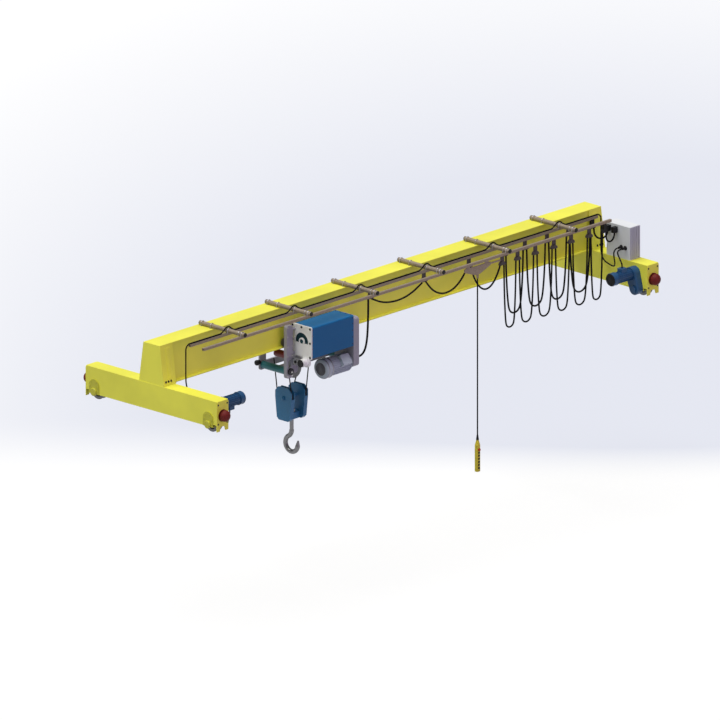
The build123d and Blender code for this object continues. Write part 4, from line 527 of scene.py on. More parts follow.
def deep_loop(start, end, bottom, roundness, leg):
    half = hypot(end[0] - start[0], end[1] - start[1]) / 2
    end_radius = roundness * half
    centre_z = bottom + end_radius

    def place(side, z):
        share = (1 + side / half) / 2
        return (start[0] + share * (end[0] - start[0]), start[1] + share * (end[1] - start[1]), z)

    def leg_points(top_z, hand):
        return [
            place(hand * (half - inward * (half - end_radius)), top_z - drop * (top_z - centre_z))
            for inward, drop in leg
        ]

    round_end = [
        place(-end_radius * cos(radians(a)), centre_z - end_radius * sin(radians(a)))
        for a in LOOP_END_ANGLES
    ]
    return leg_points(start[2], -1) + round_end + leg_points(end[2], 1)[::-1]


def shallow_loop(start, end, bottom):
    sag = SADDLE_BOTTOM - bottom
    return [
        (start[0] + side * (end[0] - start[0]), start[1], SADDLE_BOTTOM - drop * sag)
        for side, drop in SHALLOW_LOOP
    ]


print("loop shapes ready")

# %% [markdown]
# Seven trolleys carry the hoist's supply cable. Each loop hangs between the two trolleys that
# hold it. The last loop ends at a clamp that stays with the bridge.

# %% Hoist festoon
HOIST_CABLE = 0.029
HOIST_CARRIERS = 7
SHALLOW_BOTTOMS = [0.810, 0.680, 0.530]
HOIST_LOOP_BOTTOM = 0.0


def line_y(line):
    return round(middle_of(f"{line}_cable_carrier_1").y, 3)


def hang_line(line, count, clamp_x, diameter, bottom, shallow=()):
    """Hangs the loops of a line from trolley to trolley, and from the last one to the clamp."""
    carriers = [middle_of(f"{line}_cable_carrier_{number}") for number in range(1, count + 1)]
    stops = [round(carrier.x, 3) for carrier in carriers] + [clamp_x]
    for number, (left, right) in enumerate(zip(stops, stops[1:]), 1):
        start = (left + CABLE_EXIT, line_y(line), SADDLE_BOTTOM)
        end = (right - CABLE_EXIT, line_y(line), SADDLE_BOTTOM)
        if number <= len(shallow):
            points = shallow_loop(start, end, shallow[number - 1])
        else:
            points = deep_loop(start, end, bottom, LOOP_END_ROUNDNESS, LOOP_LEG)
        loop = cable(f"{line}_loop_{number}", hung(points, diameter), diameter)
        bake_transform(loop)
        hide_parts(f"{line}_festoon_cable")
    print(line, "loops between", stops)


carrier_low, carrier_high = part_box("hoist_cable_carrier_1")
clamps_low, clamps_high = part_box("festoon_end_clamps")
carrier_half = (carrier_high.x - carrier_low.x) / 2
hoist_clamp_x = round(clamps_high.x - carrier_half, 3)
hang_line("hoist", HOIST_CARRIERS, hoist_clamp_x, HOIST_CABLE, HOIST_LOOP_BOTTOM, SHALLOW_BOTTOMS)

# %% [markdown]
# The second rail carries the cable of the hanging control, on six trolleys that stand close
# together, so all its loops are deep ones.

# %% Pendant festoon
PENDANT_LOOP_CABLE = 0.027
PENDANT_CARRIERS = 6
PENDANT_LOOP_BOTTOM = -0.076

pendant_clamp_x = round(clamps_low.x + carrier_half, 3)
hang_line("pendant", PENDANT_CARRIERS, pendant_clamp_x, PENDANT_LOOP_CABLE, PENDANT_LOOP_BOTTOM)

# %% [markdown]
# Three more cables hang free: two short ones from the end clamps into the hoods on the panel, and
# the hoist's own, which drops from the first trolley and turns into the gearbox. The hanging
# control pulls its cable straight.

# %% Short cables and the pendant's cable
FEED_BOTTOM = 0.800
HOOD_BOTTOM = 0.930
HOOD_X = 9.585
FEEDS = {
    "hoist_feed": (hoist_clamp_x, line_y("hoist"), 0.630, HOIST_CABLE),
    "pendant_feed": (pendant_clamp_x, line_y("pendant"), 0.484, PENDANT_LOOP_CABLE),
}
DROP_CABLE = 0.033
DROP_POINTS = [
    (4.310, 0.774, 0.9846), (4.310, 0.774, 0.820), (4.306, 0.774, 0.650), (4.297, 0.773, 0.490),
    (4.280, 0.770, 0.345), (4.248, 0.765, 0.228), (4.196, 0.758, 0.150), (4.122, 0.752, 0.112),
    (4.045, 0.750, 0.110), (3.970, 0.750, 0.110),
]
PENDANT_CABLE = 0.022
PENDANT_SHARES = (0.0, 0.05, 0.5, 0.95, 1.0)

for name, (clamp_x, clamp_y, hood_y, diameter) in FEEDS.items():
    start = (clamp_x + CABLE_EXIT, clamp_y, SADDLE_BOTTOM)
    end = (HOOD_X, hood_y, HOOD_BOTTOM)
    points = deep_loop(start, end, FEED_BOTTOM, FEED_ROUNDNESS, FEED_LEG)
    feed = cable(name, hung(points, diameter), diameter)
    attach(feed, "bridge")
    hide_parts("festoon_feed_cables")

drop = cable("hoist_supply_drop", DROP_POINTS, DROP_CABLE)
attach(drop, "hoist")
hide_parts("hoist_drop_cable")

pendant_low, pendant_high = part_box("pendant_cable")
pendant_axis = middle_of("pendant_cable")
pendant_points = [
    (pendant_axis.x, pendant_axis.y, pendant_high.z + share * (pendant_low.z - pendant_high.z))
    for share in PENDANT_SHARES
]
pendant_cable = cable(
    "pendant_hanging_cable", pendant_points, PENDANT_CABLE,
)
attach(pendant_cable, "pendant")
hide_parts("pendant_cable")
print("short cables made")

# %% [markdown]
# The hoist's wire rope is one rope. It is tied behind the hook block, goes down and round the first
# sheave, up and over the sheave under the girder, down round the second sheave and up to the drum.
# A NURBS spline through the corners of that route touches each sheave along its rim. Six strands
# are then wound round the line that is read from it.

# %% Rope route
ROPE = 0.020
BLOCK_Y = 1.225
BLOCK_Z = -0.400
ROPE_ON_SHEAVE = 0.1515
LEFT_SHEAVE_X = 2.900
RIGHT_SHEAVE_X = 3.200
RETURN_Y = 1.160
RETURN_Z = 0.050
RETURN_CORNERS = (30, 90, 150)
ANCHOR = (LEFT_SHEAVE_X, 1.464, 0.195)
DRUM_TANGENT = (RIGHT_SHEAVE_X, 0.9335, 0.640)
SHEAVE_BOTTOM = -90.0
CORNER_TURN = 60.0
FALL_SHARE = 0.8
ROPE_STEPS = 40

corner_reach = ROPE_ON_SHEAVE / cos(radians(CORNER_TURN / 2))


def tangent_angle(point, side):
    """The angle at which a fall from a point meets a block sheave."""
    across = point[1] - BLOCK_Y
    up = point[2] - BLOCK_Z
    return degrees(atan2(up, across) - side * acos(ROPE_ON_SHEAVE / hypot(across, up)))


def on_sheave(x, angle, reach):
    return Vector((x, BLOCK_Y + reach * cos(radians(angle)), BLOCK_Z + reach * sin(radians(angle))))


def under_sheave(x, entry, leaving):
    """The corners of the route from a fall's top, round under a block sheave, to the next fall's top."""
    touch_in = on_sheave(x, tangent_angle(entry, 1), ROPE_ON_SHEAVE)
    touch_out = on_sheave(x, tangent_angle(leaving, -1), ROPE_ON_SHEAVE)
    corners = [on_sheave(x, SHEAVE_BOTTOM + step * CORNER_TURN, corner_reach) for step in (1, 0, -1)]
    before = Vector(entry).lerp(touch_in, FALL_SHARE)
    after = Vector(leaving).lerp(touch_out, FALL_SHARE)
    return [Vector(entry), before, *corners, after]


left_top = (LEFT_SHEAVE_X, RETURN_Y, RETURN_Z)
right_top = (RIGHT_SHEAVE_X, RETURN_Y, RETURN_Z)
return_radius = (RIGHT_SHEAVE_X - LEFT_SHEAVE_X) / 2
return_reach = return_radius / cos(radians(CORNER_TURN / 2))
over_return = [
    Vector((
        LEFT_SHEAVE_X + return_radius - return_reach * cos(radians(angle)),
        RETURN_Y,
        RETURN_Z + return_reach * sin(radians(angle)),
    ))
    for angle in RETURN_CORNERS
]
rope_points = [
    *under_sheave(LEFT_SHEAVE_X, ANCHOR, left_top),
    *over_return,
    *under_sheave(RIGHT_SHEAVE_X, right_top, DRUM_TANGENT)[1:],
    Vector(DRUM_TANGENT),
]
rope_curve = spline_curve("rope_route", rope_points, 0.0)
rope_curve.data.splines[0].resolution_u = ROPE_STEPS
rope_path = centreline(rope_curve)
bpy.data.objects.remove(rope_curve)
print("rope of", round(path_length(rope_path), 2), "m")

# %% [markdown]
# Each strand is a thin tube that runs round the rope's line like a stripe. The lay length, one turn
# of a strand, is about seven rope diameters. The rope stretches when the hook is lowered.

# %% Rope strands
STRANDS = 6
LAY_LENGTH = 0.112
STRAND_STEP = 0.010
STRAND_RADIUS = 0.0034


def even_points(path, step):
    """Points at even steps along a line, with the direction of the line at each."""
    points = []
    ahead = 0.0
    for before, after in zip(path, path[1:]):
        run = after - before
        while ahead <= run.length:
            points.append((before + run.normalized() * ahead, run.normalized()))
            ahead += step
        ahead -= run.length
    return points


strand_data = bpy.data.curves.new("hoist_wire_rope", "CURVE")
strand_data.dimensions = "3D"
strand_data.bevel_depth = STRAND_RADIUS
strand_data.bevel_resolution = 1
strand_data.use_fill_caps = True
steps = even_points(rope_path, STRAND_STEP)
for strand in range(STRANDS):
    spline = strand_data.splines.new("POLY")
    spline.points.add(len(steps) - 1)
    outward = Vector((1.0, 0.0, 0.0))
    for count, (place, along) in enumerate(steps):
        outward = (outward - outward.dot(along) * along).normalized()
        turn = 2 * pi * (strand / STRANDS + count * STRAND_STEP / LAY_LENGTH)
        offset = cos(turn) * outward + sin(turn) * along.cross(outward)
        spline.points[count].co = (*(place + (ROPE / 2 - STRAND_RADIUS) * offset), 1.0)
strands = bpy.data.objects.new("hoist_wire_rope", strand_data)
bpy.context.scene.collection.objects.link(strands)
wire_rope = as_mesh(strands)
paint(wire_rope, rope_metal)
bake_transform(wire_rope)
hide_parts("hoist_ropes")
print("rope faces", len(wire_rope.data.polygons))

# %% [markdown]
# The small hardware comes next. These helpers do by code what a hand does in edit mode: pick faces
# by where they are or which way they look, draw a round piece up from a circle ring by ring, and set
# copies of one pattern on a surface. Every copy has its own mesh, and a group of copies is joined.
# A coat is a finish with the name of its slot.

# %% Modelling helpers
SMOOTH_ANGLE = radians(35)
LEFT, RIGHT = (-1, 0, 0), (1, 0, 0)
FRONT, BACK = (0, -1, 0), (0, 1, 0)
UP = (0, 0, 1)
BLACK = (black_plastic, "black_plastic")
ZINC = (bolt_metal, "rail_steel")
BLACK_OXIDE = (dark_bolt_metal, "wheel_steel")
CAST = (silver_metal, "motor_grey_paint")
YELLOW = (yellow_enamel, "yellow_paint")


def begun(name):
    """The primitive just added, named, with its place put into its mesh."""
    piece = bpy.context.object
    piece.name = name
    bpy.ops.object.transform_apply(location=True, rotation=True, scale=True)
    return piece


def block(name, middle, size):
    bpy.ops.mesh.primitive_cube_add(size=1.0, location=middle, scale=size)
    return begun(name)


def pick(piece, kind, test):
    """Selects the faces or the edges of a piece that pass a test, in edit mode."""
    bpy.ops.object.mode_set(mode="EDIT")
    bpy.ops.mesh.select_mode(type=kind)
    bpy.ops.mesh.select_all(action="DESELECT")
    shape = bmesh.from_edit_mesh(piece.data)
    for part in shape.faces if kind == "FACE" else shape.edges:
        part.select_set(test(part))
    bmesh.update_edit_mesh(piece.data)


def pick_faces(piece, test):
    pick(piece, "FACE", lambda face: test(face.calc_center_median(), face.normal))


def pick_all(piece):
    pick_faces(piece, lambda middle, normal: True)


def pick_edges(piece, test):
    pick(piece, "EDGE", lambda edge: test(edge.verts[0].co, edge.verts[1].co))


def extrude(x, y, z):
    bpy.ops.mesh.extrude_region_move(TRANSFORM_OT_translate={"value": (x, y, z)})


def leave_edit():
    bpy.ops.object.mode_set(mode="OBJECT")


def face_outwards():
    """Turns every face outwards and leaves edit mode."""
    bpy.ops.mesh.select_all(action="SELECT")
    bpy.ops.mesh.normals_make_consistent(inside=False)
    leave_edit()


def turned(name, sides, profile):
    """A round piece drawn up from a circle: each step is extruded along Z and then resized."""
    radius, height = profile[0]
    bpy.ops.mesh.primitive_circle_add(
        vertices=sides, radius=radius, fill_type="NGON", location=(0, 0, height),
    )
    piece = begun(name)
    pick_all(piece)
    for next_radius, next_height in profile[1:]:
        extrude(0, 0, next_height - height)
        share = next_radius / radius
        bpy.ops.transform.resize(value=(share, share, 1), center_override=(0, 0, next_height))
        radius, height = next_radius, next_height
    face_outwards()
    return piece


def done(piece, coat, body):
    finish, slot = coat
    only(piece)
    bpy.ops.object.shade_smooth_by_angle(angle=SMOOTH_ANGLE)
    paint(piece, finish)
    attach(piece, body)
    return piece


def copies(pattern, name, places, size, coat, body):
    """Copies of a pattern, with its Z axis turned to each direction, joined into one piece."""
    bpy.ops.object.select_all(action="DESELECT")
    for place, facing in places:
        copy = pattern.copy()
        copy.data = pattern.data.copy()
        turning = Vector(facing).to_track_quat("Z", "Y").to_matrix().to_4x4()
        copy.data.transform(Matrix.Translation(place) @ turning @ Matrix.Scale(size, 4))
        bpy.context.scene.collection.objects.link(copy)
        copy.select_set(True)
        bpy.context.view_layer.objects.active = copy
    if len(places) > 1:
        bpy.ops.object.join()
    group = bpy.context.view_layer.objects.active
    group.name = name
    return done(group, coat, body)


print("modelling helpers ready")

# %% [markdown]
# A hex bolt with its washer is the pattern for nearly all the fasteners. The head starts as a
# six-sided cylinder; its top is inset and lifted for the chamfer. The washer is a flat turned ring.
# It is drawn with a radius of one, and each group gives its real size.

# %% Hex bolt pattern
bpy.ops.mesh.primitive_cylinder_add(vertices=6, radius=1.0, depth=0.55, location=(0, 0, 0.455))
hex_bolt = begun("hex_bolt")
pick_faces(hex_bolt, lambda middle, normal: normal.z > 0.9)
bpy.ops.mesh.inset(thickness=0.16)
bpy.ops.transform.translate(value=(0, 0, 0.12))
leave_edit()
washer = turned("washer", 14, [(1.3, -0.02), (1.38, 0.03), (1.38, 0.15), (1.30, 0.19)])
washer.select_set(True)
hex_bolt.select_set(True)
bpy.context.view_layer.objects.active = hex_bolt
bpy.ops.object.join()
print("bolt faces", len(hex_bolt.data.polygons))

# %% [markdown]
# Bolts on the carriages: four at the corners of each end plate, round the buffer, and four on each
# arched bearing cover. The covers are on the outer faces of the carriages, and their boxes reach to
# the caps on them.

# %% Carriage bolts
END_PLATE_BOLT_STEPS = (-0.100, 0.100)
END_PLATE_BOLT_ZS = (0.150, 0.465)
COVER_BOLTS = ((-0.083, 0.215), (0.083, 0.215), (-0.048, 0.290), (0.048, 0.290))
BEARING_CAP_HEIGHT = 0.026

carriage_xs = [middle_of(f"end_carriage_{side}").x for side in ("left", "right")]
wheel_ys = [middle_of(f"rail_wheel_{end}_left").y for end in ("front", "rear")]
end_plates_low, end_plates_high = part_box("carriage_end_plates")
covers_low, covers_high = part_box("bearing_covers")
end_plate_faces = {end_plates_low.y: FRONT, end_plates_high.y: BACK}
cover_faces = {covers_low.x + BEARING_CAP_HEIGHT: LEFT, covers_high.x - BEARING_CAP_HEIGHT: RIGHT}
end_plate_places = [
    ((x + step, y, z), facing)
    for x in carriage_xs
    for y, facing in end_plate_faces.items()
    for step in END_PLATE_BOLT_STEPS
    for z in END_PLATE_BOLT_ZS
]
cover_places = [
    ((x, wheel_y + step, z), facing)
    for x, facing in cover_faces.items()
    for wheel_y in wheel_ys
    for step, z in COVER_BOLTS
]
copies(hex_bolt, "end_plate_bolts", end_plate_places, 0.011, BLACK_OXIDE, "bridge")
# The bearing cover bolts take the darker copy of the yellow, as painted shade.
copies(hex_bolt, "bearing_cover_bolts", cover_places, 0.010, (shaded_yellow_enamel, "yellow_paint"), "bridge")
print(len(end_plate_places) + len(cover_places), "carriage bolts")

# %% [markdown]
# Bolts on the hoist: black ones round the white end plate, bright ones round the gearbox lid and
# down the column, small screws along both ends of the drum cover, and big nuts on the pins of the
# hook block.

# %% Hoist bolts
PLATE_BOLT_MARGIN = 0.031
PLATE_BOLT_ZS = (0.408, 0.640, 0.872)
PLATE_TOP_BOLT = (0.775, 0.872)
LID_X = 3.910
LID_BOLT_YS = (0.630, 0.930)
LID_BOLT_ZS = (0.095, 0.265, 0.435, 0.605, 0.775)
COLUMN_BOLT_XS = (2.622, 2.718)
COLUMN_BOLT_ZS = (0.075, 0.400, 0.560, 0.720, 0.870)
SCREW_MARGIN = 0.022
FRONT_SCREW_ZS = (0.43, 0.54, 0.65, 0.76, 0.85)
TOP_SCREW_YS = (0.62, 0.72, 0.84, 0.94)

plate_low, plate_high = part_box("hoist_drum_end_plate")
cover_low, cover_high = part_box("hoist_drum_cover")
block_low, block_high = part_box("hook_block_frame")
column_face_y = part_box("trolley_front_column")[0].y
plate_bolt_ys = (plate_low.y + PLATE_BOLT_MARGIN, plate_high.y - PLATE_BOLT_MARGIN)
plate_bolts = [(y, z) for y in plate_bolt_ys for z in PLATE_BOLT_ZS] + [PLATE_TOP_BOLT]
plate_places = [((plate_low.x, y, z), LEFT) for y, z in plate_bolts]
lid_places = [((LID_X, y, z), RIGHT) for y in LID_BOLT_YS for z in LID_BOLT_ZS]
column_places = [((x, column_face_y, z), FRONT) for x in COLUMN_BOLT_XS for z in COLUMN_BOLT_ZS]
screw_xs = (cover_low.x + SCREW_MARGIN, cover_high.x - SCREW_MARGIN)
screw_places = [((x, cover_low.y, z), FRONT) for x in screw_xs for z in FRONT_SCREW_ZS]
screw_places += [((x, y, cover_high.z), UP) for x in screw_xs for y in TOP_SCREW_YS]
pin_places = [((block_low.x, BLOCK_Y, BLOCK_Z), LEFT), ((block_high.x, BLOCK_Y, BLOCK_Z), RIGHT)]
copies(hex_bolt, "end_plate_white_bolts", plate_places, 0.014, BLACK_OXIDE, "hoist")
copies(hex_bolt, "gearbox_lid_bolts", lid_places, 0.012, ZINC, "hoist")
copies(hex_bolt, "column_bolts", column_places, 0.011, ZINC, "hoist")
copies(hex_bolt, "drum_cover_screws", screw_places, 0.007, BLACK_OXIDE, "hoist")
copies(hex_bolt, "hook_block_pin_nuts", pin_places, 0.026, (block_enamel, "blue_paint"), "hook_block")
print(len(plate_places) + len(lid_places) + len(column_places) + len(screw_places), "hoist bolts")

# %% [markdown]
# Each motor has a fan behind a round guard: rings with gaps between them, round a closed middle. The
# pattern is turned from a circle, and its profile goes in and out once for every gap. The hoist
# motor's guard is smaller than its cowl, so a rounded rim fills the space between them.

# %% Fan guards
TRAVEL_MOTOR_AXIS = (0.070, 0.362)
HOIST_MOTOR_AXIS = (0.750, 0.095)
GUARD_GAPS = [(0.93, 0.83), (0.71, 0.63), (0.51, 0.43)]
GUARD_FACE = 0.06
GUARD_GAP_FLOOR = 0.012
COWL_RIM_SEAT = 0.004
COWL_RIM_HEIGHT = 0.026

guard_profile = [(1.0, -0.02), (1.0, 0.03), (0.97, GUARD_FACE)]
for outer, inner in GUARD_GAPS:
    guard_profile += [(outer, GUARD_FACE), (outer, GUARD_GAP_FLOOR)]
    guard_profile += [(inner, GUARD_GAP_FLOOR), (inner, GUARD_FACE)]
guard_profile += [(0.30, 0.075), (0.02, 0.08)]
fan_guard = turned("fan_guard", 36, guard_profile)
cowl_rim = turned(
    "cowl_rim", 48,
    [(0.156, -0.006), (0.156, 0.008), (0.150, 0.016), (0.136, 0.023), (0.106, 0.027)],
)
left_motor_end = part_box("travel_motor_left")[1].x
right_motor_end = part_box("travel_motor_right")[0].x
hoist_rim_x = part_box("hoist_motor")[0].x + COWL_RIM_SEAT
left_guard = [((left_motor_end, *TRAVEL_MOTOR_AXIS), RIGHT)]
right_guard = [((right_motor_end, *TRAVEL_MOTOR_AXIS), LEFT)]
hoist_guard = [((hoist_rim_x - COWL_RIM_HEIGHT, *HOIST_MOTOR_AXIS), LEFT)]
hoist_rim = [((hoist_rim_x, *HOIST_MOTOR_AXIS), LEFT)]
copies(fan_guard, "left_travel_fan_guard", left_guard, 0.098, BLACK, "bridge")
copies(fan_guard, "right_travel_fan_guard", right_guard, 0.098, BLACK, "bridge")
copies(fan_guard, "hoist_fan_guard", hoist_guard, 0.104, (grey_enamel, "motor_grey_paint"), "hoist")
copies(cowl_rim, "hoist_cowl_rim", hoist_rim, 1.0, (motor_enamel, "motor_grey_paint"), "hoist")
print("guard faces", len(fan_guard.data.polygons))

# %% [markdown]
# A band runs round each fan cowl at both ends, and ties hold the drive cable down on its rail. Both
# start as a torus, which is drawn out along its axis into a flat band.

# %% Cowl bands and cable ties
HOIST_BAND_STEPS = (0.014, 0.102)
TRAVEL_BAND_STEPS = (0.014, 0.090)
ARM_COUNT = 6
ARM_RADIUS = 0.035
TIE_STEPS = (0.45, 1.05)
DRIVE_CABLE_RISE = 0.012


def flat_band(name, radius, thickness, stretch, sides, ring_sides):
    bpy.ops.mesh.primitive_torus_add(
        major_radius=radius, minor_radius=thickness, major_segments=sides, minor_segments=ring_sides,
    )
    band = begun(name)
    pick_all(band)
    bpy.ops.transform.resize(value=(1, 1, stretch), center_override=(0, 0, 0))
    leave_edit()
    return band


cowl_band = flat_band("cowl_band", 1.0, 0.035, 1.8, 48, 8)
cable_tie = flat_band("cable_tie", 0.0125, 0.0018, 2.6, 20, 6)
hoist_band_places = [((hoist_rim_x + step, *HOIST_MOTOR_AXIS), LEFT) for step in HOIST_BAND_STEPS]
travel_band_xs = [left_motor_end - step for step in TRAVEL_BAND_STEPS]
travel_band_xs += [right_motor_end + step for step in TRAVEL_BAND_STEPS]
travel_band_places = [((x, *TRAVEL_MOTOR_AXIS), LEFT) for x in travel_band_xs]
arms_low, arms_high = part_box("cable_arms")
arm_step = (arms_high.x - arms_low.x - 2 * ARM_RADIUS) / (ARM_COUNT - 1)
arm_xs = [arms_low.x + ARM_RADIUS + arm_step * number for number in range(ARM_COUNT)]
drive_cable_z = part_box("hoist_cable_rail")[1].z + DRIVE_CABLE_RISE
tie_places = [
    ((x + step, line_y("hoist"), drive_cable_z), RIGHT) for x in arm_xs[:-1] for step in TIE_STEPS
]
copies(cowl_band, "hoist_cowl_bands", hoist_band_places, 0.160, CAST, "hoist")
copies(cowl_band, "travel_cowl_bands", travel_band_places, 0.103, (blue_enamel, "blue_paint"), "bridge")
copies(cable_tie, "cable_ties", tie_places, 1.0, BLACK, "bridge")
print(len(tie_places), "cable ties")

# %% [markdown]
# The tube arms that carry the cable rails are held down on the girder by U-bolts, and smaller U-bolts
# hold the rails up to the arms. One U-bolt is modelled: a torus is cut in half, and the two cut ends
# are drawn down into legs. Black caps close the ends of the arms.

# %% Arm hardware
U_BOLT_RADIUS = 0.0405
U_BOLT_WIRE = 0.005
U_BOLT_LEG = 0.035
GIRDER_U_BOLT_YS = (1.110, 1.310)
RAIL_U_BOLT_STEPS = (-0.031, 0.031)

bpy.ops.mesh.primitive_torus_add(
    major_radius=U_BOLT_RADIUS, minor_radius=U_BOLT_WIRE, major_segments=24, minor_segments=8,
    rotation=(pi / 2, 0, 0),
)
u_bolt = begun("u_bolt")
pick_all(u_bolt)
bpy.ops.mesh.bisect(plane_co=(0, 0, 0), plane_no=(0, 0, 1), clear_inner=True)
pick_edges(u_bolt, lambda first, second: abs(first.z) < 1e-5 and abs(second.z) < 1e-5)
extrude(0, 0, -U_BOLT_LEG)
bpy.ops.mesh.select_all(action="SELECT")
bpy.ops.mesh.fill_holes(sides=0)
face_outwards()
end_cap = turned("end_cap", 24, [(0.0355, 0.0), (0.0355, 0.007), (0.032, 0.011), (0.012, 0.0125)])

arm_axis_z = (arms_low.z + arms_high.z) / 2
girder_top_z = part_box("girder_webs_and_top")[1].z
rail_ys = (line_y("hoist"), line_y("pendant"))
u_bolt_ys = [*GIRDER_U_BOLT_YS, *(y + step for y in rail_ys for step in RAIL_U_BOLT_STEPS)]
nut_steps = (-U_BOLT_RADIUS, U_BOLT_RADIUS)
u_bolt_places = [((x, y, arm_axis_z), UP) for x in arm_xs for y in u_bolt_ys]
nut_places = [
    ((x + step, y, girder_top_z), UP) for x in arm_xs for y in GIRDER_U_BOLT_YS for step in nut_steps
]
arm_ends = {arms_low.y: FRONT, arms_high.y: BACK}
cap_places = [((x, y, arm_axis_z), facing) for x in arm_xs for y, facing in arm_ends.items()]
copies(u_bolt, "arm_u_bolts", u_bolt_places, 1.0, ZINC, "bridge")
copies(hex_bolt, "arm_nuts", nut_places, 0.010, ZINC, "bridge")
copies(end_cap, "arm_end_caps", cap_places, 1.0, BLACK, "bridge")
print(len(u_bolt_places), "U-bolts")

# %% [markdown]
# Two dark round pieces show at the left of the hoist: the cap of the limit switch, and a pulley at the
# foot of the column. Both are turned. The pulley has a groove and a bright hub with a bolt.

# %% Switch cap and column pulley
PULLEY_X, PULLEY_Z = 2.670, 0.150
PULLEY_HEIGHT = 0.042

switch_cap = turned(
    "switch_cap", 28,
    [(0.050, -0.002), (0.050, 0.010), (0.044, 0.016), (0.026, 0.016), (0.024, 0.012), (0.004, 0.012)],
)
pulley = turned(
    "pulley", 28,
    [
        (0.050, 0.0), (0.056, 0.004), (0.056, 0.010), (0.046, 0.017), (0.056, 0.024),
        (0.056, 0.030), (0.048, 0.034), (0.024, 0.034), (0.022, PULLEY_HEIGHT), (0.004, PULLEY_HEIGHT),
    ],
)
switch_middle = middle_of("hoist_limit_switch")
switch_face_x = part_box("hoist_limit_switch")[0].x
switch_cap_place = [((switch_face_x, switch_middle.y, switch_middle.z), LEFT)]
pulley_place = [((PULLEY_X, column_face_y, PULLEY_Z), FRONT)]
pulley_bolt_place = [((PULLEY_X, column_face_y - PULLEY_HEIGHT, PULLEY_Z), FRONT)]
copies(switch_cap, "limit_switch_cap", switch_cap_place, 1.2, BLACK, "hoist")
copies(pulley, "column_pulley", pulley_place, 1.0, BLACK_OXIDE, "hoist")
copies(hex_bolt, "column_pulley_bolt", pulley_bolt_place, 0.012, ZINC, "hoist")
print("pulley faces", len(pulley.data.polygons))

# %% [markdown]
# Beside the limit switch hangs a small switch box of cast metal on a bracket. The box is a block with
# bevelled edges, and its cover is the inset of its left face, sunk a little. The bracket is a bevelled
# plate under the white end plate.

# %% Switch box
BOX_MIDDLE = Vector((2.740, 0.822, 0.315))
BOX_SIZE = (0.070, 0.100, 0.110)
BOX_COVER_MARGIN = 0.010
BOX_COVER_DEPTH = 0.004
BOX_BOLT_STEPS = [(y, z) for y in (-0.040, 0.040) for z in (-0.045, 0.045)]
BRACKET_MIDDLE = (2.786, 0.822, 0.330)
BRACKET_SIZE = (0.024, 0.120, 0.130)


def bevelled_block(name, middle, size, bevel):
    piece = block(name, middle, size)
    pick_edges(piece, lambda first, second: True)
    bpy.ops.mesh.bevel(offset=bevel, segments=2)
    leave_edit()
    return piece


switch_box = bevelled_block("rope_switch_box", BOX_MIDDLE, BOX_SIZE, 0.008)
pick_faces(switch_box, lambda middle, normal: normal.x < -0.99)
bpy.ops.mesh.inset(thickness=BOX_COVER_MARGIN)
bpy.ops.transform.translate(value=(BOX_COVER_DEPTH, 0, 0))
leave_edit()
done(switch_box, CAST, "hoist")
bracket = bevelled_block("rope_switch_bracket", BRACKET_MIDDLE, BRACKET_SIZE, 0.004)
done(bracket, CAST, "hoist")
box_face = BOX_MIDDLE - Vector((BOX_SIZE[0] / 2, 0, 0))
box_bolt_places = [(box_face + Vector((0, y, z)), LEFT) for y, z in BOX_BOLT_STEPS]
box_cap_place = [(box_face + Vector((BOX_COVER_DEPTH, 0, 0)), LEFT)]
copies(hex_bolt, "rope_switch_bolts", box_bolt_places, 0.006, BLACK_OXIDE, "hoist")
copies(switch_cap, "rope_switch_cap", box_cap_place, 0.5, BLACK, "hoist")
print("switch box size", [round(v, 3) for v in switch_box.dimensions])

# %% [markdown]
# Lock nuts hold the cable glands on the panel and on the hoist's gearbox, and small hinges and a round
# lock sit on the panel's door. The hinge is a block whose two outer edges are rounded with a bevel.

# %% Panel hardware
GLAND_YS = (0.380, 0.294)
GLAND_Z = 0.705
GEARBOX_GLAND = (LID_X, 0.750, 0.110)
HINGE_SIZE = (0.022, 0.070, 0.018)
HINGE_RISE = 0.000162
HINGE_ZS = (0.650, 0.930)
HINGE_MARGIN = 0.030
LOCK_MARGIN = 0.045
LOCK_Z = 0.790

panel_low, panel_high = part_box("control_panel")
hinge = block("hinge", (0, 0, HINGE_RISE), HINGE_SIZE)
pick_edges(hinge, lambda first, second: min(first.z, second.z) > 0 and abs(first.y - second.y) > 0.05)
bpy.ops.mesh.bevel(offset=0.008, segments=4)
leave_edit()
door_lock = turned(
    "door_lock", 20,
    [(0.016, -0.002), (0.016, 0.006), (0.013, 0.009), (0.008, 0.009), (0.007, 0.006), (0.002, 0.006)],
)
gland_places = [((panel_low.x, y, GLAND_Z), LEFT) for y in GLAND_YS]
hinge_places = [((panel_high.x, panel_high.y - HINGE_MARGIN, z), RIGHT) for z in HINGE_ZS]
lock_places = [((panel_high.x, panel_low.y + LOCK_MARGIN, LOCK_Z), RIGHT)]
copies(hex_bolt, "panel_gland_nuts", gland_places, 0.027, BLACK, "bridge")
copies(hex_bolt, "gearbox_gland_nut", [(GEARBOX_GLAND, RIGHT)], 0.029, BLACK, "hoist")
copies(hinge, "panel_hinges", hinge_places, 1.0, BLACK, "bridge")
copies(door_lock, "panel_lock", lock_places, 1.0, ZINC, "bridge")
print("panel box", [round(v, 3) for v in (*panel_low, *panel_high)])

# %% [markdown]
# The front of the panel carries a ribbed plate in a darker copy of the panel grey, painted shade for that
# face. It starts as a grid with one row; the whole grid is extruded for the plate's thickness, and then
# every second column is extruded once more for a rib.

# %% Panel ribs
RIB_COLUMNS = 11
RIB_PLATE_MARGIN = 0.008
RIB_PLATE_SEAT = 0.001
RIB_PLATE_THICKNESS = 0.004
RIB_HEIGHT = 0.009

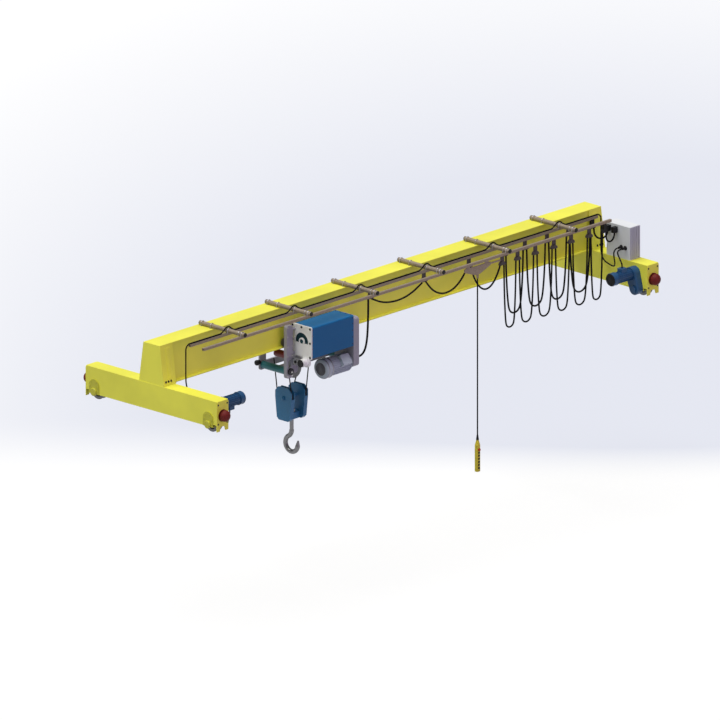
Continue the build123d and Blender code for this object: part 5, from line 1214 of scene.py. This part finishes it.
rib_plate_left = panel_low.x + RIB_PLATE_MARGIN
rib_plate_wide = panel_high.x - panel_low.x - 2 * RIB_PLATE_MARGIN
rib_plate_high = panel_high.z - panel_low.z - 2 * RIB_PLATE_MARGIN
rib_plate_middle = middle_of("control_panel")
rib_plate_middle.y = panel_low.y + RIB_PLATE_SEAT
rib_plate_face_y = rib_plate_middle.y - RIB_PLATE_THICKNESS


def on_rib(middle, normal):
    column = int((middle.x - rib_plate_left) / rib_plate_wide * RIB_COLUMNS)
    return abs(middle.y - rib_plate_face_y) < 0.001 and column % 2 == 1


bpy.ops.mesh.primitive_grid_add(
    x_subdivisions=RIB_COLUMNS, y_subdivisions=1, size=1.0, location=rib_plate_middle,
    rotation=(pi / 2, 0, 0),
)
rib_plate = begun("panel_rib_plate")
pick_all(rib_plate)
bpy.ops.transform.resize(value=(rib_plate_wide, 1, rib_plate_high), center_override=rib_plate_middle)
extrude(0, -RIB_PLATE_THICKNESS, 0)
pick_faces(rib_plate, on_rib)
extrude(0, -RIB_HEIGHT, 0)
face_outwards()
# The darker copy of the panel grey is painted shade for the panel's front.
done(rib_plate, (panel_painted_shade_enamel, "panel_grey_paint"), "bridge")
print("panel ribs", RIB_COLUMNS // 2, "plate size", [round(v, 3) for v in rib_plate.dimensions])

# %% [markdown]
# The girder's flared feet carry a stiffener plate on each sloping side, with three dark bolts below
# it. The plate starts as a block; its upper face is moved inwards until it leans as the foot does, and
# its edges get a small bevel. One plate is made for each side of each foot.

# %% Foot plates
FOOT_HALF, FOOT_TOP_HALF = 0.270, 0.175
FOOT_LOW, FOOT_HIGH = 0.520, 1.160
STIFFENER_LOW, STIFFENER_HIGH = 0.640, 1.110
STIFFENER_WIDTH = 0.100
STIFFENER_THICKNESS = 0.012
STIFFENER_XS = {"left": 0.045, "right": 9.705}
STIFFENER_SIDES = {"front": -1, "back": 1}
FOOT_BOLT_XS = (-0.013, 9.763)
FOOT_BOLT_STEPS = (-0.057, 0.0, 0.057)
FOOT_BOLT_Z = 0.585

girder_y = girder_middle.y
foot_lean = (FOOT_HALF - FOOT_TOP_HALF) / (FOOT_HIGH - FOOT_LOW)


def foot_half(z):
    return FOOT_HALF - foot_lean * (z - FOOT_LOW)


def stiffener(name, x, side):
    height = STIFFENER_HIGH - STIFFENER_LOW
    y = girder_y + side * foot_half(STIFFENER_LOW)
    size = (STIFFENER_WIDTH, STIFFENER_THICKNESS, height)
    plate = block(name, (x, y, STIFFENER_LOW + height / 2), size)
    pick_faces(plate, lambda middle, normal: normal.z > 0.9)
    bpy.ops.transform.translate(value=(0, -side * foot_lean * height, 0))
    pick_edges(plate, lambda first, second: abs(first.x - second.x) < 1e-6)
    bpy.ops.mesh.bevel(offset=0.003, segments=2)
    leave_edit()
    return done(plate, YELLOW, "bridge")


for end_name, x in STIFFENER_XS.items():
    for side_name, side in STIFFENER_SIDES.items():
        stiffener(f"{end_name}_{side_name}_foot_stiffener", x, side)
foot_bolt_places = [
    ((x + step, girder_y + side * foot_half(FOOT_BOLT_Z), FOOT_BOLT_Z), (0, side, foot_lean))
    for x in FOOT_BOLT_XS
    for side in STIFFENER_SIDES.values()
    for step in FOOT_BOLT_STEPS
]
copies(hex_bolt, "foot_bolts", foot_bolt_places, 0.014, BLACK_OXIDE, "bridge")
print(len(foot_bolt_places), "foot bolts")

# %% [markdown]
# Short rubber buffers stop the trolley at the ends of the girder. They stand on the outer edges of the
# back plates. The shape is turned: a flange, a waist and a rounded nose.

# %% Trolley buffers
BUFFER_Z = 0.190
BUFFER_MARGIN = 0.015

trolley_buffer = turned(
    "trolley_buffer", 24,
    [
        (0.030, -0.004), (0.030, 0.006), (0.022, 0.010), (0.022, 0.018), (0.034, 0.026),
        (0.036, 0.044), (0.032, 0.056), (0.022, 0.064), (0.006, 0.068),
    ],
)
back_low, back_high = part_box("trolley_back_frame")
buffer_y = back_high.y - BUFFER_MARGIN
buffer_places = [((back_low.x, buffer_y, BUFFER_Z), LEFT), ((back_high.x, buffer_y, BUFFER_Z), RIGHT)]
copies(trolley_buffer, "trolley_buffers", buffer_places, 1.25, BLACK, "hoist")
print("back frame box", [round(v, 3) for v in (*back_low, *back_high)])

# %% [markdown]
# Long fillet welds join the webs of the girder to its plates. A weld bead is a row of overlapping
# ripples: one short length is a thin cylinder cut into rings, with every second ring swollen, and an
# array repeats it along the seam.

# %% Weld beads
BEAD_RADIUS = 0.006
BEAD_LENGTH = 0.480
BEAD_RINGS = 24
BEAD_SWELL = 1.25
BEAD_SEAMS = [(y, z) for y in (1.060, 1.390) for z in (0.534, 1.160)]
BEAD_START = 0.170
BEAD_COUNT = 19

ring_step = BEAD_LENGTH / BEAD_RINGS


def on_odd_ring(first, second):
    return abs(first.z - second.z) < 1e-4 and round(first.z / ring_step) % 2 == 1


bpy.ops.mesh.primitive_cylinder_add(
    vertices=6, radius=BEAD_RADIUS, depth=BEAD_LENGTH, end_fill_type="NOTHING",
    location=(0, 0, BEAD_LENGTH / 2),
)
bead = begun("bead")
pick_edges(bead, lambda first, second: abs(first.z - second.z) > BEAD_LENGTH / 2)
bpy.ops.mesh.subdivide(number_cuts=BEAD_RINGS - 1)
pick_edges(bead, on_odd_ring)
bpy.ops.transform.resize(value=(BEAD_SWELL, BEAD_SWELL, 1), center_override=(0, 0, BEAD_LENGTH / 2))
leave_edit()
row = bead.modifiers.new("Row", "ARRAY")
row.count = BEAD_COUNT
row.use_relative_offset = False
row.use_constant_offset = True
row.constant_offset_displace = (0, 0, BEAD_LENGTH)
row.use_merge_vertices = True
row.merge_threshold = 0.0005
only(bead)
bpy.ops.object.modifier_apply(modifier="Row")
pick_all(bead)
bpy.ops.mesh.fill_holes(sides=0)
face_outwards()
bead_places = [((BEAD_START, y, z), RIGHT) for y, z in BEAD_SEAMS]
copies(bead, "girder_welds", bead_places, 1.0, YELLOW, "bridge")
print("weld faces", len(bead.data.polygons))

# %% [markdown]
# The hanging control has a row of round push buttons and a red stop button with a wide head. A ribbed
# rubber boot at its top keeps the cable from kinking. The buttons and the boot are turned pieces.

# %% Hanging control
BUTTON_FOOT = 0.060
BUTTON_STEP = 0.050
BUTTON_COUNT = 6
BOOT_RIBS = 6
BOOT_RIB_STEP = 0.012
STOP_RED = (red_plastic, "dark_red_rubber")

button = turned(
    "button", 20,
    [
        (0.0185, -0.001), (0.0185, 0.003), (0.0165, 0.0045), (0.0135, 0.0045),
        (0.0135, 0.010), (0.0115, 0.012), (0.004, 0.0125),
    ],
)
stop_button = turned(
    "stop_button", 24,
    [
        (0.020, -0.001), (0.020, 0.004), (0.011, 0.005), (0.011, 0.012),
        (0.021, 0.014), (0.021, 0.020), (0.015, 0.024), (0.004, 0.025),
    ],
)
boot_profile = [(0.0165, -0.004)]
for rib in range(BOOT_RIBS):
    rib_z = BOOT_RIB_STEP * rib
    rib_radius = 0.0235 - 0.0016 * rib
    neck_radius = 0.0185 - 0.0009 * rib
    boot_profile += [(rib_radius, rib_z), (rib_radius, rib_z + 0.006)]
    boot_profile += [(neck_radius, rib_z + 0.008), (neck_radius, rib_z + 0.010)]
boot = turned("boot", 20, boot_profile + [(0.0118, 0.078)])

control_low, control_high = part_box("pendant_control")
control_middle = middle_of("pendant_control")
button_zs = [control_low.z + BUTTON_FOOT + BUTTON_STEP * number for number in range(BUTTON_COUNT + 1)]
button_places = [((control_middle.x, control_low.y, z), FRONT) for z in button_zs]
boot_place = [((control_middle.x, control_middle.y, control_high.z), UP)]
copies(button, "control_buttons", button_places[:-1], 1.0, BLACK, "pendant")
copies(stop_button, "control_stop_button", button_places[-1:], 1.0, STOP_RED, "pendant")
copies(boot, "control_cable_boot", boot_place, 1.0, BLACK, "pendant")
print(BUTTON_COUNT, "buttons and a stop button")

# %% [markdown]
# The patterns have served and are put away, so that only the placed copies stay in the scene.

# %% Put the patterns away
patterns = [
    hex_bolt, fan_guard, cowl_rim, cowl_band, cable_tie, u_bolt, end_cap, switch_cap, pulley, hinge,
    door_lock, trolley_buffer, bead, button, stop_button, boot,
]
for pattern in patterns:
    bpy.data.objects.remove(pattern)
print(len(patterns), "patterns removed")
